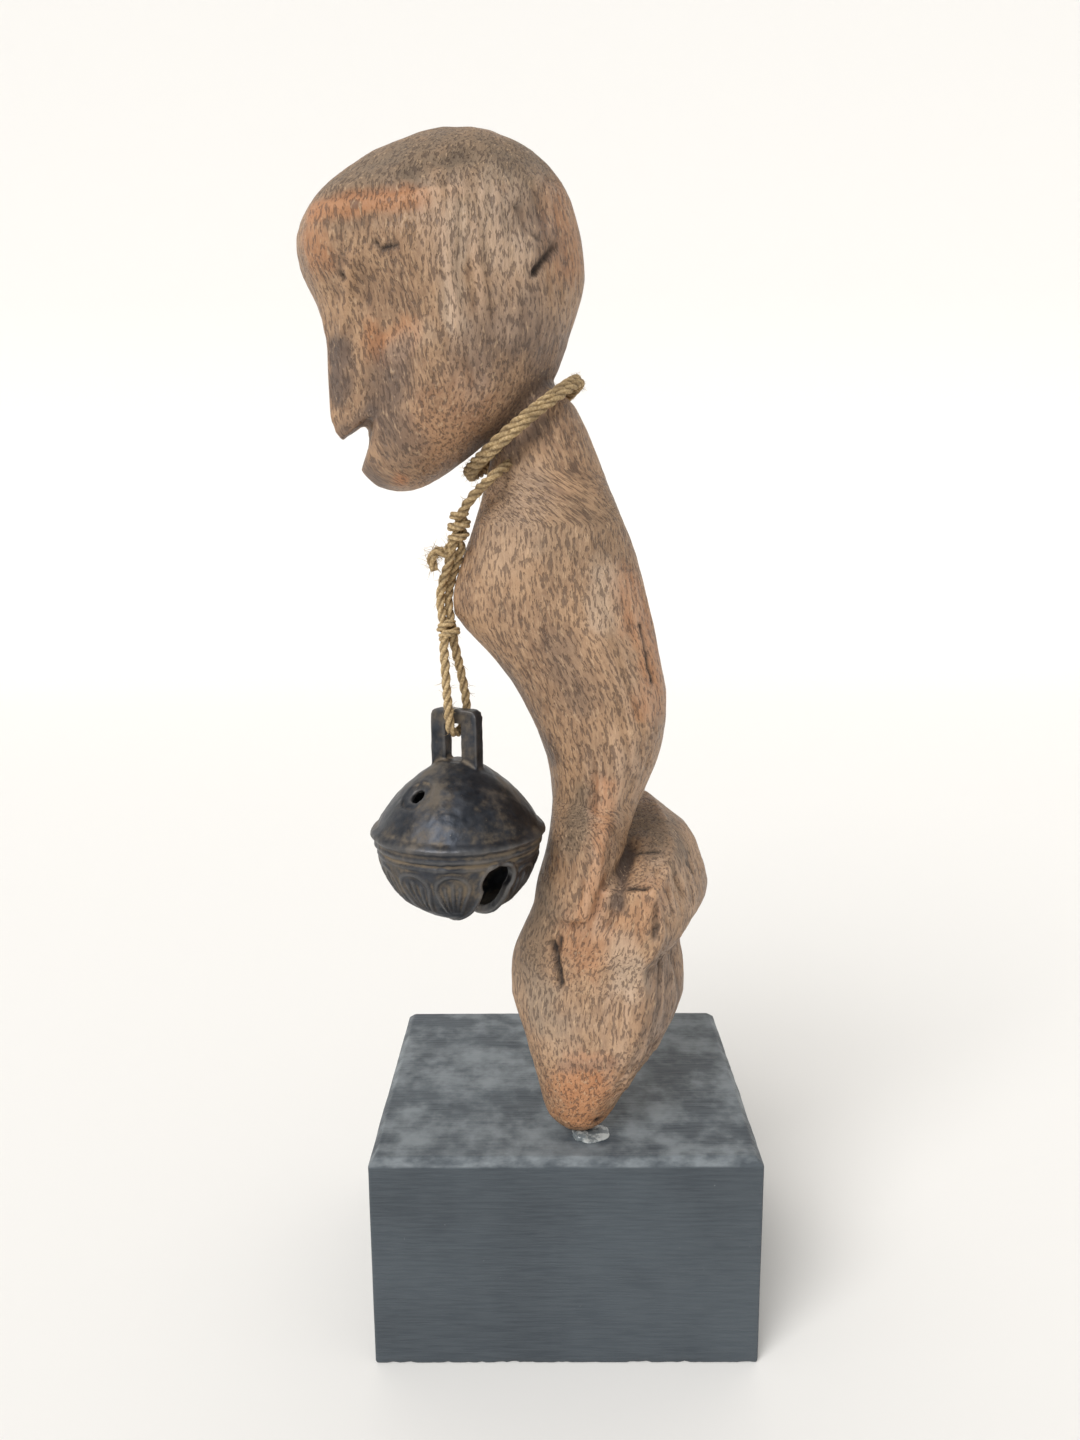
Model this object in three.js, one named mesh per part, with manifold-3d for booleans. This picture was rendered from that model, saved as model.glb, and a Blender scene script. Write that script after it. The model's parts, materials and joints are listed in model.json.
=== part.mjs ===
// A carved wooden divination figure on its painted plinth, with a crotal bell hung round its neck on jute twine.
// Millimetres, +Z up, the origin at the centre of the plinth's underside. The figure faces -X, its near side is
// towards -Y, and its head is turned towards that side.
import * as THREE from "three";
import { mergeVertices } from "three/addons/utils/BufferGeometryUtils.js";
import Module from "manifold-3d";

const wasm = await Module();
wasm.setup();

const { PI, cos, sin, hypot, abs, exp, atan2, sign, pow } = Math;
const degrees = THREE.MathUtils.degToRad;

// Driving dimensions.
const PLINTH = { width: 96, depth: 80, height: 56, bevel: 1.8 };
const HEAD = { x: -27, y: -14, turn: degrees(22) };
const HIPS = { x: 10, y: -10, turn: degrees(-21) };

// The head from the chin to the crown. Face and back are measured from its axis along the way it looks, side is half
// its width, nose and temple are how far those ridges stand out, and hollow is how deep the cheeks are carved.
const SKULL = [
  { z: 214.9, face: 13, back: 10, side: 1.6, square: 2, nose: 0, temple: 0, hollow: 0 },
  { z: 216.2, face: 17.6, back: 6, side: 7.5, square: 1.9, nose: 0, temple: 0, hollow: 0 },
  { z: 220.5, face: 21, back: -1, side: 12.4, square: 1.9, nose: 0.6, temple: 0, hollow: 0.2 },
  { z: 226, face: 22, back: -9, side: 16.8, square: 2, nose: 3.6, temple: 0, hollow: 0.8 },
  { z: 231, face: 22.4, back: -16.6, side: 19.8, square: 2.1, nose: 5.6, temple: 0.4, hollow: 1.4 },
  { z: 238, face: 22.4, back: -23.6, side: 22, square: 2.2, nose: 5.8, temple: 1, hollow: 2.2 },
  { z: 247, face: 23.8, back: -27.6, side: 23.6, square: 2.3, nose: 4.4, temple: 1.6, hollow: 3.2 },
  { z: 256, face: 27.6, back: -30.6, side: 24.4, square: 2.4, nose: 2, temple: 1.8, hollow: 4 },
  { z: 263, face: 32.2, back: -32.8, side: 25, square: 2.3, nose: 0.5, temple: 1.6, hollow: 3.6 },
  { z: 270, face: 33, back: -32.4, side: 24.8, square: 2.2, nose: 0, temple: 1, hollow: 2.2 },
  { z: 277, face: 29.8, back: -31, side: 23.6, square: 2.1, nose: 0, temple: 0.4, hollow: 0.6 },
  { z: 283.4, face: 23.2, back: -28.4, side: 20.8, square: 2, nose: 0, temple: 0, hollow: 0 },
  { z: 289, face: 13.6, back: -22.6, side: 16, square: 2, nose: 0, temple: 0, hollow: 0 },
  { z: 292.6, face: 5, back: -15.5, side: 9.5, square: 2, nose: 0, temple: 0, hollow: 0 },
  { z: 293.8, face: -3, back: -7, side: 2, square: 2, nose: 0, temple: 0, hollow: 0 },
];
// The mouth's notch: its inner corner, the nose's underside, the lower lip and the chin, each as how far ahead of the
// head's axis it is and its height. It is cut square to a line that is turned less than the face.
const MOUTH = {
  corner: [17.6, 231.8], nose: [24.4, 226.4], lip: [18.2, 226.6], chin: [20.6, 219.8],
  turn: degrees(12),
};
// Where the ridges and hollows of the head stand round it, measured from the way it looks, and how wide they are.
const NOSE = { at: 0, width: degrees(13) };
const EYE = { at: degrees(42), width: degrees(20) };
const TEMPLE = { at: degrees(66), width: degrees(11) };

// The torso and waist: where the front, the back, the near side and the far side stand at each height. Prow is how
// much the front is drawn in to an edge, and ridge is how far the ridge on the near side stands out.
const TORSO_SQUARE = 2.2;
const TORSO_RIDGE = { at: degrees(96), width: degrees(20) };
const TORSO = [
  { z: 88, front: 0, back: 12, near: -19, far: -4, prow: 0, ridge: 0 },
  { z: 104, front: -5, back: 11, near: -22, far: -3, prow: 0, ridge: 0 },
  { z: 113, front: -6.8, back: 12.4, near: -26.4, far: -2, prow: 0, ridge: 2.2 },
  { z: 123, front: -5.4, back: 15.2, near: -27, far: -1.5, prow: 0, ridge: 3.2 },
  { z: 131, front: -3.7, back: 16.2, near: -27, far: -1, prow: 0, ridge: 3 },
  { z: 140, front: -2.7, back: 19.4, near: -28, far: 0, prow: 0, ridge: 2.2 },
  { z: 150, front: -4.1, back: 23.4, near: -29.5, far: 1.5, prow: 0, ridge: 1 },
  { z: 160, front: -7.7, back: 25.3, near: -31, far: 3, prow: 0.08, ridge: 0 },
  { z: 170, front: -12.8, back: 24.9, near: -32, far: 4, prow: 0.16, ridge: 0 },
  { z: 179, front: -20.4, back: 23.1, near: -32, far: 4, prow: 0.3, ridge: 0 },
  { z: 186, front: -26.4, back: 21.7, near: -31.5, far: 3.5, prow: 0.4, ridge: 0 },
  { z: 194, front: -25.6, back: 19.4, near: -31, far: 3, prow: 0.4, ridge: 0 },
  { z: 204, front: -22.2, back: 16, near: -30, far: 2, prow: 0.34, ridge: 0 },
  { z: 214, front: -19, back: 12.2, near: -29, far: 1, prow: 0.28, ridge: 0 },
  { z: 224, front: -16.5, back: 7.8, near: -28, far: 0, prow: 0.2, ridge: 0 },
  { z: 234, front: -14, back: 3.2, near: -26, far: -2, prow: 0.1, ridge: 0 },
  { z: 243, front: -14, back: -6, near: -21, far: -7, prow: 0, ridge: 0 },
];

// The hips and the tapered foot, in a frame turned about the vertical. Ridge is how far the corner between the
// near side and the back stands out.
const PELVIS_RIDGE = { at: degrees(129), width: degrees(10) };
const PELVIS = [
  { z: 57, front: -3.4, back: 3, near: -20.4, far: -13.6, square: 2, ridge: 0 },
  { z: 60, front: -8.6, back: 6.6, near: -23, far: -9.5, square: 2, ridge: 0 },
  { z: 68, front: -12.2, back: 11, near: -24.4, far: -1, square: 2.2, ridge: 0.4 },
  { z: 78, front: -16.6, back: 18, near: -24, far: 8, square: 2.4, ridge: 1.2 },
  { z: 88, front: -22.2, back: 21.8, near: -21.8, far: 15, square: 2.5, ridge: 2.2 },
  { z: 96, front: -22.2, back: 20.6, near: -19.8, far: 18, square: 2.8, ridge: 2.8 },
  { z: 101, front: -20.8, back: 19.2, near: -18.8, far: 21, square: 3.2, ridge: 2.8 },
  { z: 106, front: -18.6, back: 22.4, near: -18.2, far: 28.5, square: 4, ridge: 2.6 },
  { z: 112, front: -15.8, back: 24, near: -18, far: 30, square: 4.2, ridge: 1.6 },
  { z: 120, front: -14.4, back: 22, near: -17.6, far: 29, square: 4, ridge: 1 },
  { z: 128, front: -11.4, back: 18.6, near: -17.2, far: 26.5, square: 3.6, ridge: 0 },
  { z: 137, front: -7.6, back: 8, near: -14, far: 21, square: 3, ridge: 0 },
];
// The shelf on top of the hips rises from the near side to the far side: how far across it is, and its height.
const SHELF = [[-60, 104], [-18, 119.6], [-6, 125.4], [16, 135.4], [60, 142]];

// The glue under the foot: a flat dab that shows beside it.
const DAB = { x: 5.4, y: -28.2, radius: 4.8, top: 4.1, thick: 0.7 };

// The bell's two halves meet at its rim. The slot runs under the bell from side to side and widens to a round mouth at
// each end, and each sound hole is in a flat disc. Turns are about the vertical, from the way +X points.
const BELL = { x: -25.8, y: -22, rim: 134.2, radius: 20.2, dome: 18.2, flat: 1.2, depth: 22.2, wall: 2 };
const RIM = { stand: 1.1, half: 1.1 };
const SLOT = { width: 6.2, mouth: 3.9, at: -8.4, turn: degrees(-56) };
const HOLE = { radius: 1.9, out: 12.8, disc: 4.4, sunk: 0.7, turn: degrees(45) };
const SHANK = {
  width: 13, top: 29.6, foot: 13, thick: 3, gap: 4.6, gapFoot: 17.2, gapTop: 26.2,
  corner: 2, edge: 0.6,
};
const SHANK_TURN = degrees(-28);
// How full the curves of the dome and the bowl are: 1 for a cone, 2 for an ellipse.
const DOMED = 1.4;
const BOWLED = 2;

// One strand of the twine, the tilted ring that its two turns make round the neck, and its two knots.
const STRAND = 2.4;
const DOUBLED = 1.3 * STRAND;
const NECK = { x: -9.2, y: -14, z: 229.5, length: 16.7, width: 16, tilt: degrees(38) };
const UPPER_KNOT = { at: [-24.4, -19.5, 207], size: [3, 2.6, 4.6] };
const LOWER_KNOT = { at: [-27.4, -18.6, 182], size: [2.9, 2.9, 3.3] };

// The twine's route below the neck, stretch by stretch, each with a small gap to the next.
const DROP = [
  [-12.6, -29.1, 222],
  [-15.6, -27.4, 218],
  [-19, -24.6, 215.2],
  [-22.9, -21, 210.9],
];
const STUB = [
  [-27.5, -18.4, 200.8],
  [-30, -18.8, 200.8],
  [-31, -19, 199],
  [-30.4, -19, 196.4],
];
const HANGER = [
  [-25.1, -18.1, 202.4],
  [-26.4, -16.4, 198],
  [-28, -15, 193.4],
  [-28.6, -15.4, 189.6],
  [-28.1, -16.9, 185.2],
];
const LOOP = [
  [-28.4, -21, 178.9],
  [-28, -23.4, 174],
  [-27.6, -25, 168],
  [-27.2, -25.4, 163.6],
  [-26.9, -24.7, 159.2],
  [-25.6, -21.8, 157.9],
  [-23.9, -18.8, 160.6],
  [-23.6, -18.2, 164.6],
  [-24.6, -17.6, 171],
  [-26.2, -17.2, 178.4],
];

// A smooth reading of a list of stations: read(t) gives every value at t, from 0 to the number of gaps in the list.
function reader(stations) {
  const keys = Object.keys(stations[0]);
  const places = stations.map((_, i) => i);
  const values = stations.flatMap((s) => keys.map((k) => s[k]));
  const curve = new THREE.CubicInterpolant(places, values, keys.length);
  return (t) => {
    const read = Array.from(curve.evaluate(t));
    return Object.fromEntries(keys.map((k, i) => [k, read[i]]));
  };
}

// A bump of height 1 at an angle, that dies away over its width.
function bump(angle, at, width) {
  const away = atan2(sin(angle - at), cos(angle - at));
  return exp(-pow(away / width, 2));
}

// A point of a rounded section. Angle 0 is its front, at minus the half length, and a quarter turn on is its near
// side. Square is 2 for an ellipse and more for a squarer section.
function rounded(angle, halfLength, halfWidth, square) {
  const c = cos(angle);
  const s = sin(angle);
  return [-halfLength * sign(c) * pow(abs(c), 2 / square), -halfWidth * sign(s) * pow(abs(s), 2 / square)];
}

// A closed skin through rings of points that go round anticlockwise seen from above, from the lowest ring up.
function skin(rings) {
  const sides = rings[0].length;
  const middle = (ring) => ring.reduce((sum, p) => sum.add(p), new THREE.Vector3()).divideScalar(sides);
  const points = [...rings.flat(), middle(rings[0]), middle(rings[rings.length - 1])];
  const low = points.length - 2;
  const high = points.length - 1;
  const lastRing = (rings.length - 1) * sides;
  const faces = [];
  for (let j = 0; j < sides; j++) {
    const k = (j + 1) % sides;
    faces.push(low, k, j);
    faces.push(high, lastRing + j, lastRing + k);
    for (let i = 0; i + 1 < rings.length; i++) {
      const a = i * sides + j;
      const b = i * sides + k;
      faces.push(a, b, b + sides, a, b + sides, a + sides);
    }
  }
  const geometry = new THREE.BufferGeometry().setFromPoints(points);
  geometry.setIndex(faces);
  return geometry;
}

// A skin with so many rings from each station to the next, where place(angle, station) gives a point of a ring. The
// points of a ring start at the phase, a share of the step between them.
function loft(stations, steps, sides, place, phase = 0) {
  const read = reader(stations);
  const rings = [];
  for (let i = 0; i <= (stations.length - 1) * steps; i++) {
    const station = read(i / steps);
    const ring = [];
    for (let j = 0; j < sides; j++) ring.push(place(((j + phase) / sides) * 2 * PI, station));
    rings.push(ring);
  }
  return skin(rings);
}

// The two ways between a three.js geometry and a solid that can be cut and joined.
function solid(geometry) {
  const bare = geometry.clone();
  bare.deleteAttribute("normal");
  bare.deleteAttribute("uv");
  const merged = mergeVertices(bare, 1e-4);
  const vertProperties = merged.attributes.position.array;
  const triVerts = new Uint32Array(merged.index.array);
  return new wasm.Manifold(new wasm.Mesh({ numProp: 3, vertProperties, triVerts }));
}

function geometryOf(form) {
  const { vertProperties, triVerts } = form.getMesh();
  const geometry = new THREE.BufferGeometry();
  geometry.setAttribute("position", new THREE.BufferAttribute(vertProperties, 3));
  geometry.setIndex(new THREE.BufferAttribute(triVerts, 1));
  geometry.computeVertexNormals();
  return geometry;
}

// The egg-shaped head, turned about the vertical.
function head() {
  const c = cos(HEAD.turn);
  const s = sin(HEAD.turn);
  return loft(SKULL, 2, 40, (angle, at) => {
    const middle = (at.face + at.back) / 2;
    let [along, across] = rounded(angle, (at.face - at.back) / 2, at.side, at.square);
    const reach = hypot(along, across);
    const eyes = bump(angle, EYE.at, EYE.width) + bump(angle, -EYE.at, EYE.width);
    const temples = bump(angle, TEMPLE.at, TEMPLE.width) + bump(angle, -TEMPLE.at, TEMPLE.width);
    const nose = bump(angle, NOSE.at, NOSE.width);
    const grow = (at.nose * nose + at.temple * temples - at.hollow * eyes) / reach;
    along = along * (1 + grow) - middle;
    across *= 1 + grow;
    return new THREE.Vector3(HEAD.x + along * c - across * s, HEAD.y + along * s + across * c, at.z);
  });
}

// The curved torso and the waist.
function torso() {
  return loft(TORSO, 2, 32, (angle, at) => {
    let [along, across] = rounded(angle, (at.back - at.front) / 2, (at.far - at.near) / 2, TORSO_SQUARE);
    const reach = hypot(along, across);
    const grow = (at.ridge * bump(angle, TORSO_RIDGE.at, TORSO_RIDGE.width)) / reach;
    const drawn = 1 - at.prow * pow((1 + cos(angle)) / 2, 1.5);
    along *= 1 + grow;
    across *= (1 + grow) * drawn;
    return new THREE.Vector3((at.front + at.back) / 2 + along, (at.near + at.far) / 2 + across, at.z);
  });
}

// The hips and the foot, before the shelf is cut.
function pelvis() {
  const c = cos(HIPS.turn);
  const s = sin(HIPS.turn);
  return loft(PELVIS, 2, 32, (angle, at) => {
    let [along, across] = rounded(angle, (at.back - at.front) / 2, (at.far - at.near) / 2, at.square);
    const grow = 1 + (at.ridge * bump(angle, PELVIS_RIDGE.at, PELVIS_RIDGE.width)) / hypot(along, across);
    along = along * grow + (at.front + at.back) / 2;
    across = across * grow + (at.near + at.far) / 2;
    return new THREE.Vector3(HIPS.x + along * c - across * s, HIPS.y + along * s + across * c, at.z);
  }, 0.5);
}

// A prism of a flat outline, in a frame turned about the vertical: outline points are along the frame's length and
// height, and the prism reaches as far to each side of it.
function prism(outline, reach, place) {
  const shape = new THREE.Shape(outline.map(([along, height]) => new THREE.Vector2(along, height)));
  const geometry = new THREE.ExtrudeGeometry(shape, { depth: 2 * reach, bevelEnabled: false });
  geometry.translate(0, 0, -reach).rotateX(PI / 2).rotateZ(place.turn).translate(place.x, place.y, 0);
  return solid(geometry);
}

// The mouth's notch, open to the front.
function mouth() {
  const past = 60;
  const outline = [
    MOUTH.corner,
    MOUTH.lip,
    MOUTH.chin,
    [past, MOUTH.chin[1] - 1],
    [past, MOUTH.nose[1] - 2],
    MOUTH.nose,
  ].map(([ahead, height]) => [-ahead, height]);
  return prism(outline, past / 2, { ...HEAD, turn: MOUTH.turn });
}

// What is cut away above the shelf of the hips.
function aboveShelf() {
  const past = 60;
  const above = 200;
  return prism([...SHELF, [past, above], [-past, above]], past, { ...HIPS, turn: HIPS.turn + PI / 2 });
}

// A named mesh of a solid or a geometry.
function piece(name, form, color, roughness, metalness = 0) {
  const geometry = form.isBufferGeometry ? form : geometryOf(form);
  const mesh = new THREE.Mesh(geometry, new THREE.MeshStandardMaterial({ color, roughness, metalness }));
  mesh.name = name;
  return mesh;
}

// The plinth: a block with its upper edges bevelled.
function plinth() {
  const { width, depth, height, bevel } = PLINTH;
  const ring = (halfWidth, halfDepth, z) => [
    new THREE.Vector3(-halfWidth, -halfDepth, z),
    new THREE.Vector3(halfWidth, -halfDepth, z),
    new THREE.Vector3(halfWidth, halfDepth, z),
    new THREE.Vector3(-halfWidth, halfDepth, z),
  ];
  return skin([
    ring(width / 2, depth / 2, 0),
    ring(width / 2, depth / 2, height - bevel),
    ring(width / 2 - bevel, depth / 2 - bevel, height),
  ]);
}

// The dab of glue, with a slanted edge.
function dab() {
  const disc = new THREE.CylinderGeometry(DAB.top, DAB.radius, DAB.thick, 24).rotateX(PI / 2);
  return disc.translate(DAB.x, DAB.y, PLINTH.height + DAB.thick / 2);
}

// The outline of one half of the bell, from its end on the axis out to the rim. It is cut flat at the height cap.
function half(radius, height, power, cap, steps) {
  const points = [];
  for (let i = 0; i <= steps; i++) {
    const t = (i / steps) * (PI / 2);
    const r = radius * pow(sin(t), 2 / power);
    const h = height * pow(cos(t), 2 / power);
    points.push(new THREE.Vector2(r, Math.min(h, cap)));
  }
  points[0].x = 0;
  return points;
}

// The hollow bell about its own rim: dome and bowl, rim bead, shank, slot and sound holes.
function bell() {
  const { radius, dome, flat, depth, wall } = BELL;
  const sides = 32;
  const down = (p) => new THREE.Vector2(p.x, -p.y);
  const lower = half(radius, depth, BOWLED, depth, 8).map(down);
  const upper = half(radius, dome, DOMED, dome - flat, 7).reverse();
  const bead = [
    new THREE.Vector2(radius + RIM.stand * 0.7, -RIM.half * 0.8),
    new THREE.Vector2(radius + RIM.stand, 0),
    new THREE.Vector2(radius + RIM.stand * 0.7, RIM.half * 0.8),
  ];
  lower.pop();
  upper.shift();
  const edge = [new THREE.Vector2(radius, -RIM.half), ...bead, new THREE.Vector2(radius - 0.4, RIM.half)];
  const outside = new THREE.LatheGeometry([...lower, ...edge, ...upper], sides).rotateX(PI / 2);

  const bowl = half(radius - wall, depth - wall, BOWLED, depth, 5).map(down);
  const vault = half(radius - wall, dome - wall, DOMED, dome - wall - flat, 4).reverse();
  vault.shift();
  const inside = new THREE.LatheGeometry([...bowl, ...vault], sides).rotateX(PI / 2);

  let form = solid(outside).add(shank()).subtract(solid(inside)).subtract(slot());
  for (const side of [0, 1]) form = form.subtract(soundHole(HOLE.turn + side * PI));
  return form;
}

// What the slot cuts away: below each mouth's round top, everything between two sides.
function slot() {
  const start = Math.acos(SLOT.width / 2 / SLOT.mouth);
  const outline = new THREE.Shape();
  outline.moveTo(-SLOT.width / 2, -BELL.depth - 5);
  outline.lineTo(SLOT.width / 2, -BELL.depth - 5);
  outline.absarc(0, SLOT.at, SLOT.mouth, -start, PI + start);
  outline.closePath();
  const long = 3 * BELL.radius;
  const cut = new THREE.ExtrudeGeometry(outline, { depth: long, bevelEnabled: false, curveSegments: 8 });
  return solid(cut.translate(0, 0, -long / 2).rotateX(PI / 2).rotateZ(PI / 2 + SLOT.turn));
}

// The shank: a flat bar bent to a loop, with rounded shoulders and a slit for the twine.
function shank() {
  const { width, top, foot, thick, gap, gapFoot, gapTop, corner, edge } = SHANK;
  const outline = new THREE.Shape();
  outline.moveTo(-width / 2, foot);
  outline.lineTo(width / 2, foot);
  outline.absarc(width / 2 - corner, top - corner, corner, 0, PI / 2);
  outline.absarc(-width / 2 + corner, top - corner, corner, PI / 2, PI);
  outline.closePath();
  const slit = new THREE.Path();
  slit.moveTo(-gap / 2, gapFoot);
  slit.lineTo(-gap / 2, gapTop);
  slit.lineTo(gap / 2, gapTop);
  slit.lineTo(gap / 2, gapFoot);
  slit.closePath();
  outline.holes.push(slit);
  const bar = new THREE.ExtrudeGeometry(outline, {
    depth: thick - 2 * edge,
    bevelThickness: edge,
    bevelSize: edge,
    bevelOffset: -edge,
    bevelSegments: 1,
    curveSegments: 4,
  });
  return solid(bar.translate(0, 0, -thick / 2 + edge).rotateX(PI / 2).rotateZ(SHANK_TURN));
}

// A sound hole square to the dome's surface, in its flat disc.
function soundHole(turn) {
  const { radius, dome } = BELL;
  const up = dome * pow(1 - pow(HOLE.out / radius, DOMED), 1 / DOMED);
  const outward = pow(HOLE.out / radius, DOMED - 1) / radius;
  const upward = pow(up / dome, DOMED - 1) / dome;
  const long = 12;
  const disc = new THREE.CylinderGeometry(HOLE.disc, HOLE.disc, long, 20);
  disc.translate(0, long / 2 - HOLE.sunk, 0);
  const bore = new THREE.CylinderGeometry(HOLE.radius, HOLE.radius, long, 12);
  const placed = [disc, bore].map((g) => {
    g.rotateX(PI / 2 + atan2(outward, upward)).translate(0, -HOLE.out, up);
    return solid(g.rotateZ(PI / 2 + turn));
  });
  return placed[0].add(placed[1]);
}

// A tube of twine along points chosen by hand.
function strand(points, diameter, sides = 8) {
  const path = new THREE.CatmullRomCurve3(points.map((p) => new THREE.Vector3(...p)), false, "centripetal");
  const ring = new THREE.Shape();
  for (let i = 0; i < sides; i++) {
    const angle = (i / sides) * 2 * PI;
    const [x, y] = [(diameter / 2) * cos(angle), (diameter / 2) * sin(angle)];
    if (i === 0) ring.moveTo(x, y);
    else ring.lineTo(x, y);
  }
  const steps = Math.max(4, Math.round(path.getLength() / (2 * diameter)));
  return new THREE.ExtrudeGeometry(ring, { extrudePath: path, steps, curveSegments: 1 });
}

// The two turns round the neck, side by side, as one ring of their outer shape.
function neckTurns() {
  const ring = new THREE.TorusGeometry(NECK.width, STRAND / 2, 8, 32);
  ring.scale(NECK.length / NECK.width, 1, 2);
  return ring.rotateY(-NECK.tilt).translate(NECK.x, NECK.y, NECK.z);
}

// A knot as one rounded lump.
function knot({ at, size }) {
  return new THREE.SphereGeometry(1, 12, 8).rotateX(PI / 2).scale(...size).translate(...at);
}

const hips = solid(pelvis()).subtract(aboveShelf());
const figure = solid(head()).subtract(mouth()).add(solid(torso())).add(hips);
const root = new THREE.Group();
root.add(piece("figure", figure, 0x7a5136, 0.7));
root.add(piece("plinth", plinth(), 0x2e353a, 0.6));
root.add(piece("adhesive_dab", dab(), 0x8d9694, 0.3));

const bellMesh = piece("bell", bell(), 0x26282b, 0.4, 0.8);
bellMesh.position.set(BELL.x, BELL.y, BELL.rim);
root.add(bellMesh);

const TAN = 0xa58a58;
root.add(piece("twine_neck_turns", neckTurns(), TAN, 0.9));
root.add(piece("twine_drop", strand(DROP, STRAND), TAN, 0.9));
root.add(piece("twine_upper_knot", knot(UPPER_KNOT), TAN, 0.9));
root.add(piece("twine_stub", strand(STUB, STRAND), TAN, 0.9));
root.add(piece("twine_hanger", strand(HANGER, DOUBLED), TAN, 0.9));
root.add(piece("twine_lower_knot", knot(LOWER_KNOT), TAN, 0.9));
root.add(piece("twine_bell_loop", strand(LOOP, STRAND), TAN, 0.9));

export default root;
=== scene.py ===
# %% [markdown]
# # A divination figure with a bell, on its painted plinth
# This lesson dresses a plain model of a small carved figure. The wood is old and has been handled for years, a
# cast bell hangs from its neck on jute twine, and it stands on a block of painted wood. The plain model comes in
# first, as a frame that stays where it is. Every piece that follows is made in the same place, in more detail.
# Distances in the cells are in millimetres, as a carver would give them, and Blender gets them in metres.

import json
from itertools import product

import bmesh
import bpy
import numpy as np
from mathutils import Matrix, Vector
from mathutils.bvhtree import BVHTree

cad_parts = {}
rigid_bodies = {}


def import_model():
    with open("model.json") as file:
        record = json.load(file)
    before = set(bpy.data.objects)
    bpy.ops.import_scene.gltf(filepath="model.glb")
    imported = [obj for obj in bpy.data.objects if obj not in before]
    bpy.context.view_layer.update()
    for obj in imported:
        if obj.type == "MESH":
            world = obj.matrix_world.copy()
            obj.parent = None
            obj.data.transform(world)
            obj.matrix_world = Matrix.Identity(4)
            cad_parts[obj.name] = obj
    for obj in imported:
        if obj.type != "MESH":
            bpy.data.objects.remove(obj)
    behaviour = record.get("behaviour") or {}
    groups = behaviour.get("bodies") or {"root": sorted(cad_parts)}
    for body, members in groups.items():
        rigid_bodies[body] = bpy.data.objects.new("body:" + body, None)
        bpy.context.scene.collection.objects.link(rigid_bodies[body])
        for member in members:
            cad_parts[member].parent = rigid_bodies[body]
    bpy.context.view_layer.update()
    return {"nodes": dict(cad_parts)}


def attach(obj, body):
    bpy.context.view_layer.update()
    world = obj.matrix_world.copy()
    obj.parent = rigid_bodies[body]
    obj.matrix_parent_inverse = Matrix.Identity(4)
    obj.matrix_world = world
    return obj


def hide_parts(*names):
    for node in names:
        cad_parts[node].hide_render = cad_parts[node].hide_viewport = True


for thing in list(bpy.data.objects):
    bpy.data.objects.remove(thing)
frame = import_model()
MM = 0.001

# %% [markdown]
# ## The camera
# The camera comes first, because marks on the wood are placed by where the photograph shows them. It stands close,
# at about the height of the figure's chin, and looks slightly down. Its place was found from the edges of the
# plinth, whose two vanishing points give the tilt and the lens.

# %% The camera
PHOTO = (1080, 1440)
LENS = 1041.6
LENS_AT = np.array([-3.96, -268.46, 205.42])
DOWN = np.radians(10.25)
ASIDE = np.radians(-0.39)
ROLL = np.radians(-0.4)
SENSOR = 36.0

ahead = np.array([np.sin(ASIDE) * np.cos(DOWN), np.cos(ASIDE) * np.cos(DOWN), -np.sin(DOWN)])
level = np.array([np.cos(ASIDE), -np.sin(ASIDE), 0.0])
upright = np.cross(level, ahead)
right = level * np.cos(ROLL) + upright * np.sin(ROLL)
up = upright * np.cos(ROLL) - level * np.sin(ROLL)

camera = bpy.data.objects.new("camera", bpy.data.cameras.new("camera"))
bpy.context.scene.collection.objects.link(camera)
turned = Matrix([[*row] for row in np.stack([right, up, -ahead], axis=1)]).to_4x4()
camera.matrix_world = Matrix.Translation(Vector(LENS_AT * MM)) @ turned
camera.data.sensor_fit = "VERTICAL"
camera.data.sensor_height = SENSOR
camera.data.lens = SENSOR * LENS / PHOTO[1]
camera.data.clip_start = 0.01
bpy.context.scene.camera = camera
print("lens in mm:", round(camera.data.lens, 2))


def sight(x, y):
    """The way from the lens through a place in the photograph."""
    way = ahead + right * (x - PHOTO[0] / 2) / LENS + up * (PHOTO[1] / 2 - y) / LENS
    return way / np.linalg.norm(way)


# %% [markdown]
# ## The twine's course
# The twine is one length of jute. It goes twice round the neck, comes out below those turns, runs through a hitch
# under the chin and on down the chest, through a small knot and through the bell's shank, and then back up beside
# itself to the hitch, where its frayed end sticks out. A cord is best made from one smooth line down its middle.
# A few points are given, a curve is drawn through them, and the curve is cut into even steps.

# %% A smooth line through given points
def course(points, step):
    """Even steps along a smooth curve through the points."""
    points = np.array(points, float)
    before = 2 * points[0] - points[1]
    after = 2 * points[-1] - points[-2]
    held = np.vstack([before, points, after])
    pieces = []
    for a, b, c, d in zip(held, held[1:], held[2:], held[3:]):
        gaps = [np.sqrt(np.linalg.norm(q - p)) for p, q in ((a, b), (b, c), (c, d))]
        out = (b - a) / gaps[0] - (c - a) / (gaps[0] + gaps[1]) + (c - b) / gaps[1]
        into = (c - b) / gaps[1] - (d - b) / (gaps[1] + gaps[2]) + (d - c) / gaps[2]
        out, into = out * gaps[1], into * gaps[1]
        t = np.linspace(0, 1, 24, endpoint=False)[:, None]
        start, end = 2 * t**3 - 3 * t**2 + 1, 3 * t**2 - 2 * t**3
        pieces.append(start * b + (t**3 - 2 * t**2 + t) * out + end * c + (t**3 - t**2) * into)
    fine = np.vstack([*pieces, points[-1:]])
    along = np.append(0, np.cumsum(np.linalg.norm(np.diff(fine, axis=0), axis=1)))
    steps = np.linspace(0, along[-1], max(2, int(round(along[-1] / step)) + 1))
    return np.stack([np.interp(steps, along, fine[:, k]) for k in range(3)], axis=1)


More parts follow.
